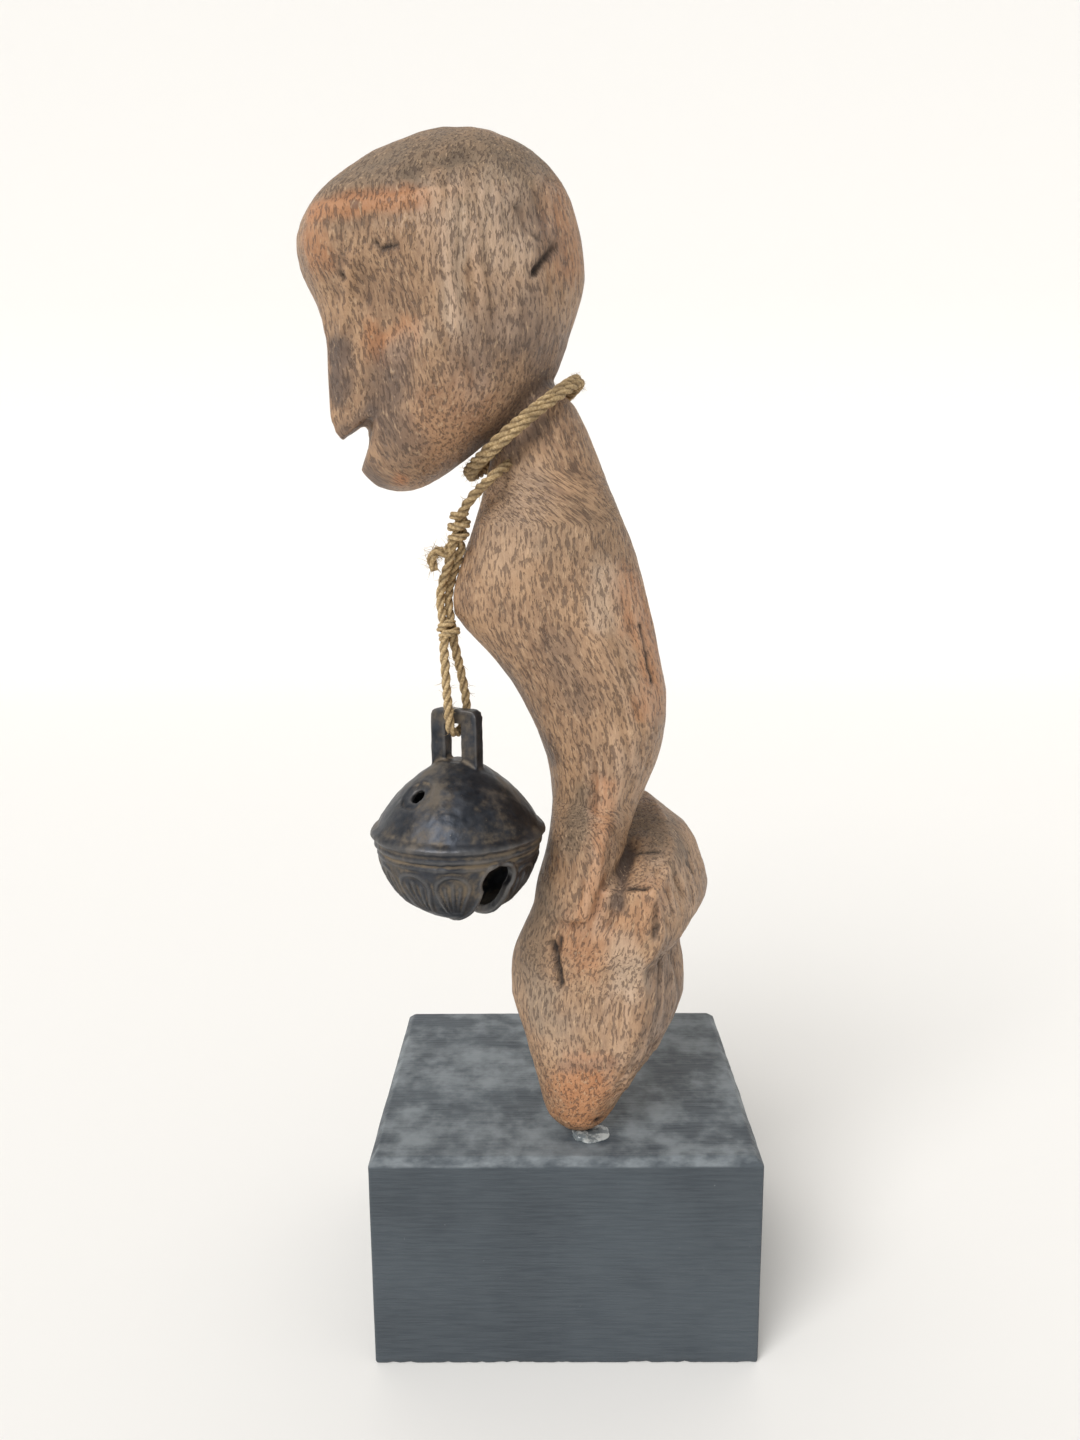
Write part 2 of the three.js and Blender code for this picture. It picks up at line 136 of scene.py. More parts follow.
# %% The course of the twine
STRAND = 2.4
NECK = {"centre": (-9.2, -14.0, 229.5), "long": 16.7, "wide": 16.0, "tilt": np.radians(38)}
DROP = [(-12.6, -29.1, 222.0), (-15.6, -27.4, 218.0), (-19.0, -24.6, 215.2), (-22.9, -21.0, 210.9)]
HITCH = [(-24.4, -19.5, 207.0)]
HANGER = [(-25.1, -18.1, 202.4), (-26.4, -16.4, 198.0), (-28.0, -15.0, 193.4), (-28.6, -15.4, 189.6)]
KNOT = [(-28.1, -16.9, 185.2), (-27.4, -18.6, 182.0)]
LOOP = [
    (-28.4, -21.0, 178.9), (-28.0, -23.4, 174.0), (-27.6, -25.0, 168.0), (-27.2, -25.4, 163.6),
    (-26.9, -24.7, 159.2), (-25.6, -21.8, 157.9), (-23.9, -18.8, 160.6), (-23.6, -18.2, 164.6),
    (-24.6, -17.6, 171.0), (-26.2, -17.2, 178.4),
]
STUB = [(-27.5, -18.4, 200.8), (-30.0, -18.8, 200.8), (-31.0, -19.0, 199.0), (-30.4, -19.0, 196.4)]


def round_neck(turn, along):
    """A point on the tilted ring round the neck, so many turns on, and so far along the ring's own axis."""
    angle = 2 * np.pi * turn
    x = NECK["long"] * np.cos(angle)
    y = NECK["wide"] * np.sin(angle)
    c, s = np.cos(NECK["tilt"]), np.sin(NECK["tilt"])
    return np.array(NECK["centre"]) + np.array([x * c - along * s, y, x * s + along * c])


# The turns run from under the jaw, out of sight, round the nape and back, two times.
turns = []
for turn in np.linspace(0.42, -1.68, 54):
    done = (0.42 - turn) / 2.1
    turns.append(round_neck(turn, STRAND * (0.5 - done)))
leave = [round_neck(-1.76, -STRAND * 0.9), round_neck(-1.79, -STRAND * 1.5)]

apart = np.array([-0.75, -0.65, 0.0]) * STRAND * 0.5
first = [np.array(p) + apart for p in HANGER]
second = [np.array(p) - apart for p in HANGER]
route_points = [
    *turns, *leave, *DROP[1:], *HITCH, *first, np.array(KNOT[0]) + apart * 0.9, np.array(KNOT[1]) + apart * 0.8,
    *LOOP, np.array(KNOT[1]) - apart * 0.9, np.array(KNOT[0]) - apart, *second[::-1],
    (-25.6, -17.6, 203.6), *STUB,
]
twine_line = course(route_points, 0.3)

# %% [markdown]
# ## A skin to carve
# The plain model's faces are some millimetres wide, far too coarse for tool marks and cracks. A voxel remesh turns
# a solid into an even skin of small squares, about as fine as one grain line. All carving is then done on its
# points: each is pushed in or out along its own normal. That keeps the form's size and place, and it is exact
# about depth, where a painted bump would only look like one.

# %% The skin
class Skin:
    """An even mesh, as points in millimetres with their normals and edges."""

    def __init__(self, thing):
        self.thing = thing
        mesh = thing.data
        self.points = np.empty(len(mesh.vertices) * 3)
        mesh.vertices.foreach_get("co", self.points)
        self.points = self.points.reshape(-1, 3) / MM
        edges = np.empty(len(mesh.edges) * 2, int)
        mesh.edges.foreach_get("vertices", edges)
        self.edges = edges.reshape(-1, 2)
        self.ends = np.bincount(self.edges.ravel(), minlength=len(self.points))[:, None]
        self.settle()

    def settle(self):
        """Writes the points back to the mesh and reads the new normals."""
        mesh = self.thing.data
        mesh.vertices.foreach_set("co", (self.points * MM).ravel())
        mesh.update()
        normals = np.empty(len(self.points) * 3)
        mesh.vertex_normals.foreach_get("vector", normals)
        self.normals = normals.reshape(-1, 3)

    def spread(self, values):
        """The mean of each point's neighbours."""
        a, b = self.edges.T
        values = values.reshape(len(self.points), -1)
        total = [np.bincount(a, v[b], len(v)) + np.bincount(b, v[a], len(v)) for v in values.T]
        return np.stack(total, axis=1) / self.ends

    def smooth(self, times):
        """Softens small steps and keeps the size, by a step in and a step out each time."""
        for _ in range(times):
            for share in (0.6, -0.62):
                self.points = self.points + share * (self.spread(self.points) - self.points)
        self.settle()

    def push(self, amount):
        """Moves each point along its normal, out where the amount is above 0."""
        self.points = self.points + self.normals * amount[:, None]
        self.settle()

    def mark(self, name, values):
        """Keeps a value per point for the material to read."""
        self.thing.data.attributes.new(name, "FLOAT", "POINT").data.foreach_set("value", values.astype(np.float32))


def remeshed(node, name, voxel):
    """A finer, even copy of a plain node, where it stands."""
    source = bpy.data.objects.new(name + "_source", frame["nodes"][node].data.copy())
    bpy.context.scene.collection.objects.link(source)
    even = source.modifiers.new("even", "REMESH")
    even.mode = "VOXEL"
    even.voxel_size = voxel * MM
    even.use_smooth_shade = True
    mesh = bpy.data.meshes.new_from_object(source.evaluated_get(bpy.context.evaluated_depsgraph_get()))
    bpy.data.objects.remove(source)
    mesh.name = name
    mesh.materials.clear()
    thing = bpy.data.objects.new(name, mesh)
    bpy.context.scene.collection.objects.link(thing)
    print(name, "has", len(mesh.polygons), "faces")
    return Skin(thing)


# %% Noise with lumps of a chosen size
TWIST = np.array([[0.36, 0.48, -0.8], [-0.8, 0.6, 0.0], [0.48, 0.64, 0.6]])


def noise(points, size, seed):
    """Smooth noise from -1 to 1. Size is how wide its lumps are, as one number or one for each way."""
    lattice = np.random.default_rng(seed).uniform(-1, 1, (32, 32, 32))
    places = (points / np.array(size)) @ TWIST
    cell = np.floor(places).astype(int)
    part = places - cell
    part = part * part * (3 - 2 * part)
    total = np.zeros(len(points))
    for corner in product((0, 1), repeat=3):
        corner = np.array(corner)
        share = np.prod(np.where(corner, part, 1 - part), axis=1)
        i, j, k = ((cell + corner) % 32).T
        total += share * lattice[i, j, k]
    return total


def fade(distance, inner, outer):
    """1 up to the inner distance, 0 from the outer one, and a soft step between."""
    t = np.clip((outer - distance) / (outer - inner), 0, 1)
    return t * t * (3 - 2 * t)


def away(points, line):
    """How far each point is from a line through a few places."""
    nearest = np.full(len(points), np.inf)
    line = np.array(line, float)
    if len(line) == 1:
        line = np.repeat(line, 2, axis=0)
    for a, b in zip(line, line[1:]):
        along = b - a
        t = np.clip((points - a) @ along / max(along @ along, 1e-9), 0, 1)
        nearest = np.minimum(nearest, np.linalg.norm(points - a - t[:, None] * along, axis=1))
    return nearest


# %% [markdown]
# ## The carved wood
# The figure is one piece of wood. The plain model has its form, and what is missing is everything that a hand and
# the years have done to it: the edge where the cap meets the brow, the hollows of the eyes, furrows where soft grain
# has worn away, knots, cracks and a gouge. Each mark is placed by where the photograph shows it. A ray from the
# camera through that place meets the wood, and the carving is done around the point that it hits.

# %% The wood's skin
FIGURE_VOXEL = 0.75
wood = remeshed("figure", "carved_figure", FIGURE_VOXEL)
wood.smooth(14)
tree = BVHTree.FromPolygons(
    [Vector(p) for p in wood.points], [tuple(face.vertices) for face in wood.thing.data.polygons]
)


def on_wood(places):
    """The points of the wood that the photograph shows at these places, or the nearest ones beside its outline."""
    found = []
    for x, y in places:
        way = sight(x, y)
        hit = tree.ray_cast(Vector(LENS_AT), Vector(way))[0]
        if hit is None:
            beside = LENS_AT + way * (-12 - LENS_AT[1]) / way[1]
            hit = tree.find_nearest(Vector(beside))[0]
        found.append(np.array(hit))
    return np.array(found)


middle_z = np.arange(57, 296, 6.0)
middle = np.array([wood.points[abs(wood.points[:, 2] - z) < 5, :2].mean(axis=0) for z in middle_z])
rest = wood.points.copy()
centre = np.stack([np.interp(rest[:, 2], middle_z, middle[:, k]) for k in range(2)], axis=1)
grain = np.column_stack([rest[:, :2] - centre, rest[:, 2]])
print("the wood's points:", len(rest))

# %% The large forms that the plain model leaves soft
# Each entry is a line in the photograph, how wide the form is and how far it stands out, or is cut in below 0.
FORMS = [
    ([(306, 204), (330, 198), (360, 195), (400, 190), (440, 182), (480, 184)], 1.3, -0.45),
    ([(304, 214), (330, 207), (360, 204), (400, 199), (440, 192), (470, 192)], 1.6, 0.45),
    ([(412, 168), (428, 160), (445, 158), (468, 152)], 2.4, -1.3),
    ([(352, 166), (385, 158)], 4.0, -0.5),
    ([(442, 196), (447, 230), (449, 262), (453, 300), (459, 340), (470, 388)], 1.8, 0.55),
    ([(425, 215), (428, 262), (432, 300)], 6.0, -0.6),
    ([(352, 256), (348, 280), (345, 300), (341, 330)], 1.3, 0.6),
    ([(331, 282), (334, 292)], 2.6, -0.7),
    ([(366, 284), (364, 300)], 3.0, -0.8),
    ([(378, 336), (373, 360), (371, 385), (372, 408)], 1.8, -0.7),
    ([(385, 340), (404, 336)], 2.4, 0.4),
    ([(366, 434), (372, 436)], 1.6, 0.4),
    ([(515, 225), (535, 215), (552, 210)], 3.4, -0.9),
    ([(588, 545), (600, 590), (604, 640), (606, 700)], 3.6, 0.5),
    ([(560, 652), (572, 690)], 6.0, -0.7),
    ([(606, 795), (603, 840), (594, 880), (584, 918)], 2.2, 0.9),
    ([(632, 846), (624, 872), (618, 900), (609, 926)], 1.7, -1.6),
    ([(590, 850), (582, 880), (573, 912)], 1.2, -0.8),
    ([(653, 889), (647, 931), (653, 969), (652, 992), (645, 1040), (622, 1084)], 1.5, 0.8),
    ([(668, 960), (670, 1000), (655, 1045)], 4.5, -0.9),
    ([(678, 884), (670, 905)], 4.0, -0.8),
]
for places, width, height in FORMS:
    gap = away(wood.points, on_wood(places))
    wood.push(height * np.exp(-((gap / width) ** 2)))
print("forms carved:", len(FORMS))

# %% Furrows, where the soft grain has worn away between the hard
# Each entry is a line in the photograph, how far the furrows reach from it, and how deep they are.
FURROWS = [
    ([(440, 200), (450, 300), (470, 380)], 6.0, 0.3),
    ([(468, 205), (472, 300)], 7.0, 0.5),
    ([(505, 205), (505, 310)], 8.0, 0.42),
    ([(550, 200), (555, 330)], 9.0, 0.25),
    ([(635, 590), (648, 700), (630, 780)], 10.0, 0.3),
    ([(610, 760), (605, 860), (585, 920)], 6.0, 0.35),
    ([(672, 880), (668, 960), (662, 1030), (630, 1080)], 7.0, 0.5),
    ([(615, 1000), (610, 1060)], 6.0, 0.25),
    ([(690, 880), (695, 905)], 7.0, 0.45),
]
furrowed = np.zeros(len(rest))
for places, reach, depth in FURROWS:
    gap = away(rest * (1, 0.6, 1), on_wood(places) * (1, 0.6, 1))
    furrowed = np.maximum(furrowed, depth * fade(gap, 0.3 * reach, 1.3 * reach))
lines = noise(grain, (1.5, 1.5, 16), 3) + 0.5 * noise(grain, (0.9, 0.9, 9), 4)
wood.push(furrowed * (np.clip(lines, -1, 1) - 0.15))
wood.mark("furrow", np.clip(lines * 0.7 + 0.5, 0, 1) * np.clip(furrowed * 3, 0, 1))

# %% Hand-cut lumps and worn small grain over the whole surface
lumps = 0.4 * noise(rest, 15, 5) + 0.22 * noise(rest, 7, 6) + 0.12 * noise(grain, (2.6, 2.6, 5), 7)
pores = noise(grain, (0.95, 0.95, 2.6), 8)
wood.push(lumps - 0.16 * np.clip(pores - 0.25, 0, 1))

# %% Cracks, the gouge and the knots
# Each entry is a line in the photograph, its half width and its depth.
CRACKS = [
    ([(534, 273), (545, 260), (556, 246)], 0.8, 1.5),
    ([(375, 242), (379, 246), (382, 249), (388, 246), (395, 244)], 0.5, 0.8),
    ([(340, 273), (344, 279)], 0.5, 0.8),
    ([(518, 207), (520, 211)], 0.9, 1.1),
    ([(530, 228), (540, 238)], 0.7, 0.7),
    ([(553, 943), (556, 955), (558, 968), (561, 983)], 0.8, 1.6),
    ([(561, 938), (557, 953)], 0.6, 1.0),
    ([(640, 625), (645, 650), (652, 682)], 0.6, 0.7),
    ([(620, 889), (650, 889)], 0.5, 0.5),
    ([(657, 905), (655, 935), (660, 965)], 0.6, 0.8),
    ([(598, 1120), (612, 1108), (622, 1094)], 1.1, 0.8),
    ([(687, 862), (706, 868)], 0.8, 0.6),
    ([(633, 853), (660, 852), (690, 853)], 0.5, 0.4),
    ([(372, 436), (366, 441)], 0.8, 0.8),
]
dark = np.zeros(len(rest))
for places, width, depth in CRACKS:
    gap = away(wood.points + 0.35 * noise(rest, 1.8, 9)[:, None], on_wood(places))
    cut = np.exp(-((gap / width) ** 2))
    wood.push(-depth * cut)
    dark = np.maximum(dark, cut)
KNOTS = [((586, 799), 2.5), ((569, 848), 2.0)]
for place, radius in KNOTS:
    gap = away(rest, on_wood([place]))
    ring = np.exp(-(((gap - radius) / 0.55) ** 2)) + 0.8 * np.exp(-(((gap - 0.3 * radius) / 0.5) ** 2))
    wood.push(-0.35 * ring)
# the crack mask paints the cracks near-black in the material, as painted shade inside them
wood.mark("crack", dark)
print("cracks and knots carved:", len(CRACKS) + len(KNOTS))

# %% Where the surface is hollow and where it stands out
# The material darkens the hollows as painted shade, and lightens the edges where hands have polished them, so it
# asks for both. A point's neighbours lie ahead of it in a hollow and behind it on an edge, which the dot product
# with its normal tells.
bend = ((wood.spread(wood.points) - wood.points) * wood.normals).sum(axis=1)[:, None]
for _ in range(3):
    bend = wood.spread(bend)
bend = bend[:, 0] / FIGURE_VOXEL
# the hollow mask paints shade into the wood's colour, darker the deeper the hollow
wood.mark("hollow", np.clip(bend * 8, 0, 1))
wood.mark("edge", np.clip(-bend * 8, 0, 1))

# %% [markdown]
# ## The wood's colours
# Age has coloured the wood in patches, some dark and waxy, some orange where the surface has rubbed off, some pale
# and dusty. Several dark patches are not age but painted shade: under the nose, the jaw, the chin and the head, along
# the belly's lower edge, at the back of the waist and in a line above the foot. Three pale patches are painted
# highlights, on the side of the head, on the torso and on the hip. They are painted as a maker would stain a copy:
# patch by patch, each with a place, a size and a strength, with its rim broken up by noise. A patch reaches through
# to the far side, which the photograph doesn't show, so that both sides agree.

# %% Patches of colour
PATCHES = {
    "olive": [
        ([(350, 175), (450, 150), (530, 165)], 9, 1.0),
        ([(400, 135), (470, 135)], 7, 0.8),
        ([(650, 830), (675, 850)], 6, 0.9),
        ([(545, 900), (525, 960), (540, 1010)], 6, 0.8),
        ([(586, 799), (569, 848)], 3.4, 0.9),
        ([(575, 540), (600, 520)], 8, 0.4),
    ],
    "warm": [
        ([(312, 212), (360, 202), (420, 197)], 2.6, 1.0),
        ([(308, 240), (318, 255)], 3.5, 0.7),
        ([(380, 342), (404, 338)], 4, 0.9),
        ([(560, 200), (568, 260)], 5, 0.6),
        ([(440, 430), (470, 400)], 8, 0.35),
        ([(400, 479), (398, 482)], 1.8, 1.0),
        ([(630, 590), (650, 650), (655, 700)], 5, 0.9),
        ([(606, 790), (602, 850), (588, 915)], 3.2, 0.9),
        ([(590, 930), (580, 950)], 7, 0.6),
        ([(585, 1085), (582, 1115)], 8, 1.0),
        ([(630, 940), (660, 895)], 4, 0.4),
    ],
    "dark": [
        ([(395, 365), (385, 410), (400, 440)], 5.5, 0.8),
        ([(336, 350), (338, 395)], 3.4, 1.0),
        # painted shade under the nose
        ([(345, 436), (372, 412)], 2.6, 1.0),
        # painted shade at the back of the jaw
        ([(480, 350), (520, 330), (560, 350)], 7, 0.7),
        # painted shade under the jaw
        ([(540, 380), (500, 430), (440, 480)], 5, 0.7),
        # painted shade under the chin
        ([(365, 470), (380, 486)], 3.4, 0.8),
        ([(525, 215), (545, 240)], 5, 0.75),
        # painted shade under the head, at the neck
        ([(545, 420), (530, 435), (510, 450)], 2.6, 0.9),
        # painted shade on the narrow turning edge at the back of the waist
        ([(545, 790), (533, 880)], 1.8, 1.0),
        ([(560, 652), (580, 700)], 5, 0.5),
        # painted shade along the belly's lower edge, which faces down
        ([(480, 645), (520, 690), (552, 760)], 2.2, 0.7),
        ([(660, 960), (668, 1010), (650, 1050)], 6, 0.8),
        ([(628, 850), (616, 905)], 2.0, 1.0),
        # painted shade in a line above the foot
        ([(560, 1066), (615, 1064)], 1.4, 0.5),
    ],
    "pale": [
        # painted highlight on the ridge at the side of the head
        ([(458, 210), (452, 290), (452, 320)], 2.6, 1.0),
        ([(490, 200), (500, 250)], 7, 0.75),
        ([(395, 345), (425, 335)], 3, 0.5),
        # painted highlight on the torso
        ([(600, 580), (598, 620)], 4, 0.8),
        # painted highlight on the hip
        ([(625, 950), (630, 985)], 4.5, 0.8),
        ([(520, 490), (505, 540)], 8, 0.35),
        ([(540, 1000), (560, 1040)], 7, 0.4),
    ],
}
rough_edge = 0.35 * noise(rest, 5, 11) + 0.3 * noise(rest, 2.2, 12)
for colour, patches in PATCHES.items():
    painted = np.zeros(len(rest))
    for places, reach, strength in patches:
        gap = away(rest * (1, 0.45, 1), on_wood(places) * (1, 0.45, 1)) / reach + rough_edge
        painted = np.maximum(painted, strength * fade(gap, 0.35, 1.45))
    wood.mark(colour, painted)
grains = wood.thing.data.attributes.new("grain", "FLOAT_VECTOR", "POINT")
grains.data.foreach_set("vector", (grain * MM).astype(np.float32).ravel())
wood.thing.data.polygons.foreach_set("use_smooth", [True] * len(wood.thing.data.polygons))
print("patches painted:", sum(len(patches) for patches in PATCHES.values()))

# %% [markdown]
# ## Stacks of rings
# A bell, a block, a drop of glue and a length of twine have one thing in common: each is a stack of closed rings of
# points. One helper joins the rings with squares and closes both ends, and the pieces differ only in their rings.

# %% The stack of rings
def new_piece(name, mesh):
    """An object of that mesh, in the scene."""
    thing = bpy.data.objects.new(name, mesh)
    bpy.context.scene.collection.objects.link(thing)
    return thing


def stacked(name, rings, smooth=True):
    """A closed piece through rings of points that go round anticlockwise seen from the last ring's side."""
    rings = np.array(rings, float)
    count, sides = rings.shape[:2]
    first = np.arange(count - 1)[:, None] * sides
    here = np.arange(sides)[None, :]
    there = (here + 1) % sides
    squares = np.stack([first + here, first + there, first + sides + there, first + sides + here], axis=2)
    faces = [list(row) for row in squares.reshape(-1, 4).tolist()]
    faces.append(list(range(sides))[::-1])
    faces.append([(count - 1) * sides + k for k in range(sides)])
    mesh = bpy.data.meshes.new(name)
    mesh.from_pydata((rings.reshape(-1, 3) * MM).tolist(), [], faces)
    mesh.polygons.foreach_set("use_smooth", [smooth] * (len(faces) - 2) + [False] * 2)
    mesh.update()
    return new_piece(name, mesh)


def joined(thing, other, way):
    """Joins the other piece to this one, or cuts it away, and drops it."""
    change = thing.modifiers.new(way, "BOOLEAN")
    change.operation = way
    change.solver = "EXACT"
    change.object = other
    mesh = bpy.data.meshes.new_from_object(thing.evaluated_get(bpy.context.evaluated_depsgraph_get()))
    thing.modifiers.clear()
    thing.data = mesh
    bpy.data.objects.remove(other)


# %% [markdown]
# ## The bell
# A bell of this kind is cast in one piece: a domed upper half and a round lower half that meet at a rim, a slot
# underneath with a round mouth at each end, two sound holes above in flat discs, and a shank to hang it by. The
# walls are about two millimetres thick. Here the body is turned from its outline, outside and inside, the shank is
# joined on, the openings are cut, and a fine remesh rounds every edge a little, as casting does. The relief comes
# last: a bead and lines under the rim, raised lips along the slot, and a row of petals with ribs round the bowl.

# %% The bell's turned body
BELL = {"at": np.array([-25.8, -22.0, 134.2]), "radius": 20.2, "dome": 18.2, "flat": 17.0, "depth": 22.2, "wall": 2.0}
BELL_VOXEL = 0.36
SLOT = {"half": 3.1, "mouth": 3.9, "at": -8.4, "turn": np.radians(-56)}
HOLE = {"radius": 1.9, "out": 12.8, "disc": 4.4, "sunk": 0.7, "turn": np.radians(45)}
SHANK = {"width": 13.0, "top": 29.6, "foot": 13.0, "thick": 3.2, "gap": 4.6, "gap_foot": 17.2, "gap_top": 26.2}
SHANK_TURN = np.radians(-28)


def turned_form(name, profile, sides):
    """A closed form of that outline, from the bottom up, given as (radius, height)."""
    angles = np.arange(sides) / sides * 2 * np.pi
    rings = [[(r * np.cos(a), r * np.sin(a), z) for a in angles] for r, z in profile]
    return stacked(name, rings)


def half_outline(radius, height, power, steps):
    """A quarter of a rounded outline, from the axis out to the rim."""
    t = np.linspace(0.02, np.pi / 2, steps)
    return radius * np.sin(t) ** (2 / power), height * np.cos(t) ** (2 / power)


def bell_outline(thinner, steps):
    """The outline of the bell's outside, or of its inside where it is made thinner."""
    low_r, low_z = half_outline(BELL["radius"] - thinner, BELL["depth"] - thinner, 2, steps)
    high_r, high_z = half_outline(BELL["radius"] - thinner, BELL["dome"] - thinner, 1.4, steps)
    low = list(zip(low_r, -low_z))
    high = [(r, min(z, BELL["flat"] - thinner)) for r, z in zip(high_r, high_z)][::-1]
    return low, high


low, high = bell_outline(0, 70)
flange = [(20.3, -1.5), (20.9, -0.8), (21.35, -0.35), (21.35, 0.2), (20.7, 0.9), (19.9, 1.5)]
outside = [p for p in low if p[1] < -1.6] + flange + [p for p in high if p[1] > 1.7]
bell = turned_form("bell_body", outside, 128)
low, high = bell_outline(BELL["wall"], 30)
hollow_form = turned_form("bell_hollow", low[:-1] + high, 64)


def slab(name, outline, thick, turn, hole=None):
    """A flat bar of that outline, as (across, height), turned about the vertical, with an optional slit."""
    shape = bmesh.new()
    loops = [outline] if hole is None else [outline, hole]
    edges = []
    for loop in loops:
        corners = [shape.verts.new((x * MM, -thick / 2 * MM, z * MM)) for x, z in loop]
        edges += [shape.edges.new((a, b)) for a, b in zip(corners, corners[1:] + corners[:1])]
    bmesh.ops.triangle_fill(shape, edges=edges, use_beauty=True)
    made = bmesh.ops.extrude_face_region(shape, geom=shape.faces[:])
    moved = [v for v in made["geom"] if isinstance(v, bmesh.types.BMVert)]
    bmesh.ops.translate(shape, verts=moved, vec=(0, thick * MM, 0))
    bmesh.ops.recalc_face_normals(shape, faces=shape.faces[:])
    shape.transform(Matrix.Rotation(turn, 4, "Z"))
    mesh = bpy.data.meshes.new(name)
    shape.to_mesh(mesh)
    shape.free()
    return new_piece(name, mesh)


def corner_arc(x, z, radius, start, end, steps=6):
    return [(x + radius * np.cos(a), z + radius * np.sin(a)) for a in np.radians(np.linspace(start, end, steps))]


half = SHANK["width"] / 2
bar = [(half, SHANK["foot"]), *corner_arc(half - 2, SHANK["top"] - 2, 2, 0, 90)]
bar += [*corner_arc(-half + 2, SHANK["top"] - 2, 2, 90, 180), (-half, SHANK["foot"])]
g = SHANK["gap"] / 2
slit = [(-g, SHANK["gap_foot"]), (g, SHANK["gap_foot"]), (g, SHANK["gap_top"]), (-g, SHANK["gap_top"])]
shank = slab("bell_shank", bar, SHANK["thick"], SHANK_TURN, slit)
rounding = shank.modifiers.new("rounding", "BEVEL")
rounding.width = 0.8 * MM
rounding.segments = 3
rounding.limit_method = "ANGLE"
start = np.degrees(np.arccos(SLOT["half"] / SLOT["mouth"]))
keyhole = [(-SLOT["half"], -30), (SLOT["half"], -30), *corner_arc(0, SLOT["at"], SLOT["mouth"], -start, 180 + start, 24)]
slot_cutter = slab("slot", keyhole, 80, np.pi / 2 + SLOT["turn"])

joined(bell, shank, "UNION")
joined(bell, hollow_form, "DIFFERENCE")
joined(bell, slot_cutter, "DIFFERENCE")
for side in (0, 1):
    out, height = HOLE["out"], BELL["dome"] * (1 - (HOLE["out"] / BELL["radius"]) ** 1.4) ** (1 / 1.4)
    lean = np.arctan2((out / BELL["radius"]) ** 0.4 / BELL["radius"], (height / BELL["dome"]) ** 0.4 / BELL["dome"])
    for radius, low_end in ((HOLE["disc"], -HOLE["sunk"]), (HOLE["radius"], -6)):
        angles = np.arange(40) / 40 * 2 * np.pi
        cutter = stacked("hole", [[(radius * np.cos(a), radius * np.sin(a), z) for a in angles] for z in (low_end, 8)])
        place = Matrix.Rotation(HOLE["turn"] + side * np.pi, 4, "Z") @ Matrix.Translation((0, -out * MM, height * MM))
        cutter.data.transform(Matrix.Rotation(np.pi / 2, 4, "Z") @ place @ Matrix.Rotation(lean, 4, "X"))
        joined(bell, cutter, "DIFFERENCE")
bell.data.transform(Matrix.Translation(Vector(BELL["at"] * MM)))
print("the bell's body has", len(bell.data.polygons), "faces")


# %% The bell's relief
def even_skin(thing, name, voxel):
    """The piece remeshed to an even, fine skin."""
    even = thing.modifiers.new("even", "REMESH")
    even.mode = "VOXEL"
    even.voxel_size = voxel * MM
    even.use_smooth_shade = True
    mesh = bpy.data.meshes.new_from_object(thing.evaluated_get(bpy.context.evaluated_depsgraph_get()))
    bpy.data.objects.remove(thing)
    print(name, "has", len(mesh.polygons), "faces")
    return Skin(new_piece(name, mesh))


cast = even_skin(bell, "cast_bell", BELL_VOXEL)
cast.smooth(3)
spot = cast.points - BELL["at"]
across = np.hypot(spot[:, 0], spot[:, 1])
height = spot[:, 2]
outer = (cast.normals * spot).sum(axis=1) > 0
bowl = outer & (height < -0.6)
bead = 0.5 * np.exp(-(((height + 2.5) / 0.75) ** 2)) - 0.3 * np.exp(-(((height + 3.8) / 0.4) ** 2))
bead += 0.2 * np.exp(-(((height + 4.7) / 0.4) ** 2))
cast.push(bead * bowl)

slot_way = np.array([-np.sin(SLOT["turn"] + np.pi / 2), np.cos(SLOT["turn"] + np.pi / 2)])
beside = spot[:, :2] @ np.array([np.cos(SLOT["turn"] + np.pi / 2), np.sin(SLOT["turn"] + np.pi / 2)])
mouth_gap = np.hypot(beside, height - SLOT["at"]) - SLOT["mouth"]
slot_gap = np.where(height < SLOT["at"], abs(beside) - SLOT["half"], np.inf)
lip = np.minimum(mouth_gap, slot_gap)
cast.push(0.5 * np.exp(-(((lip - 0.75) / 0.5) ** 2)) * bowl)

PETALS = 12
turn = np.arctan2(spot[:, 1], spot[:, 0]) + np.pi / 2
share = (turn / (2 * np.pi) * PETALS + 0.5) % 1 - 0.5
drop = -height
narrow = np.clip(1 - (drop - 10) / 16, 0.15, 1)
sideways = share * 2 * np.pi / PETALS * 20.2
arch_side = abs(abs(sideways) - 4.4 * narrow)
arch_top = abs(np.hypot(sideways / 4.4, (drop - 10) / 3.8) - 1) * 3.8
arch = np.where(drop > 10, arch_side, arch_top)
ribs = np.full(len(spot), 9.0)
for place in (-1, 0, 1):
    rib_top = 8.4 + 1.1 * abs(place)
    gap = np.hypot(sideways - place * 2.0 * narrow, np.maximum(rib_top - drop, 0))
    ribs = np.minimum(ribs, gap)
raised = np.maximum(np.exp(-((arch / 0.5) ** 2)), np.exp(-((ribs / 0.48) ** 2)))
clear_of_slot = np.clip((lip - 1.2) / 0.8, 0, 1)
ends = np.clip((18.2 - drop) / 2, 0, 1) * np.clip((drop - 5.6) / 0.5, 0, 1)
raised = raised * clear_of_slot * ends * bowl
cast.push(0.42 * raised)
cast.push(0.09 * noise(spot, 3.5, 21) + 0.07 * noise(spot, 1.3, 22))
bend = ((cast.spread(cast.points) - cast.points) * cast.normals).sum(axis=1)[:, None]
for _ in range(2):
    bend = cast.spread(bend)
bend = bend[:, 0] / BELL_VOXEL
cast.mark("hollow", np.clip(bend * 9, 0, 1))
cast.mark("edge", np.clip(-bend * 9, 0, 1))

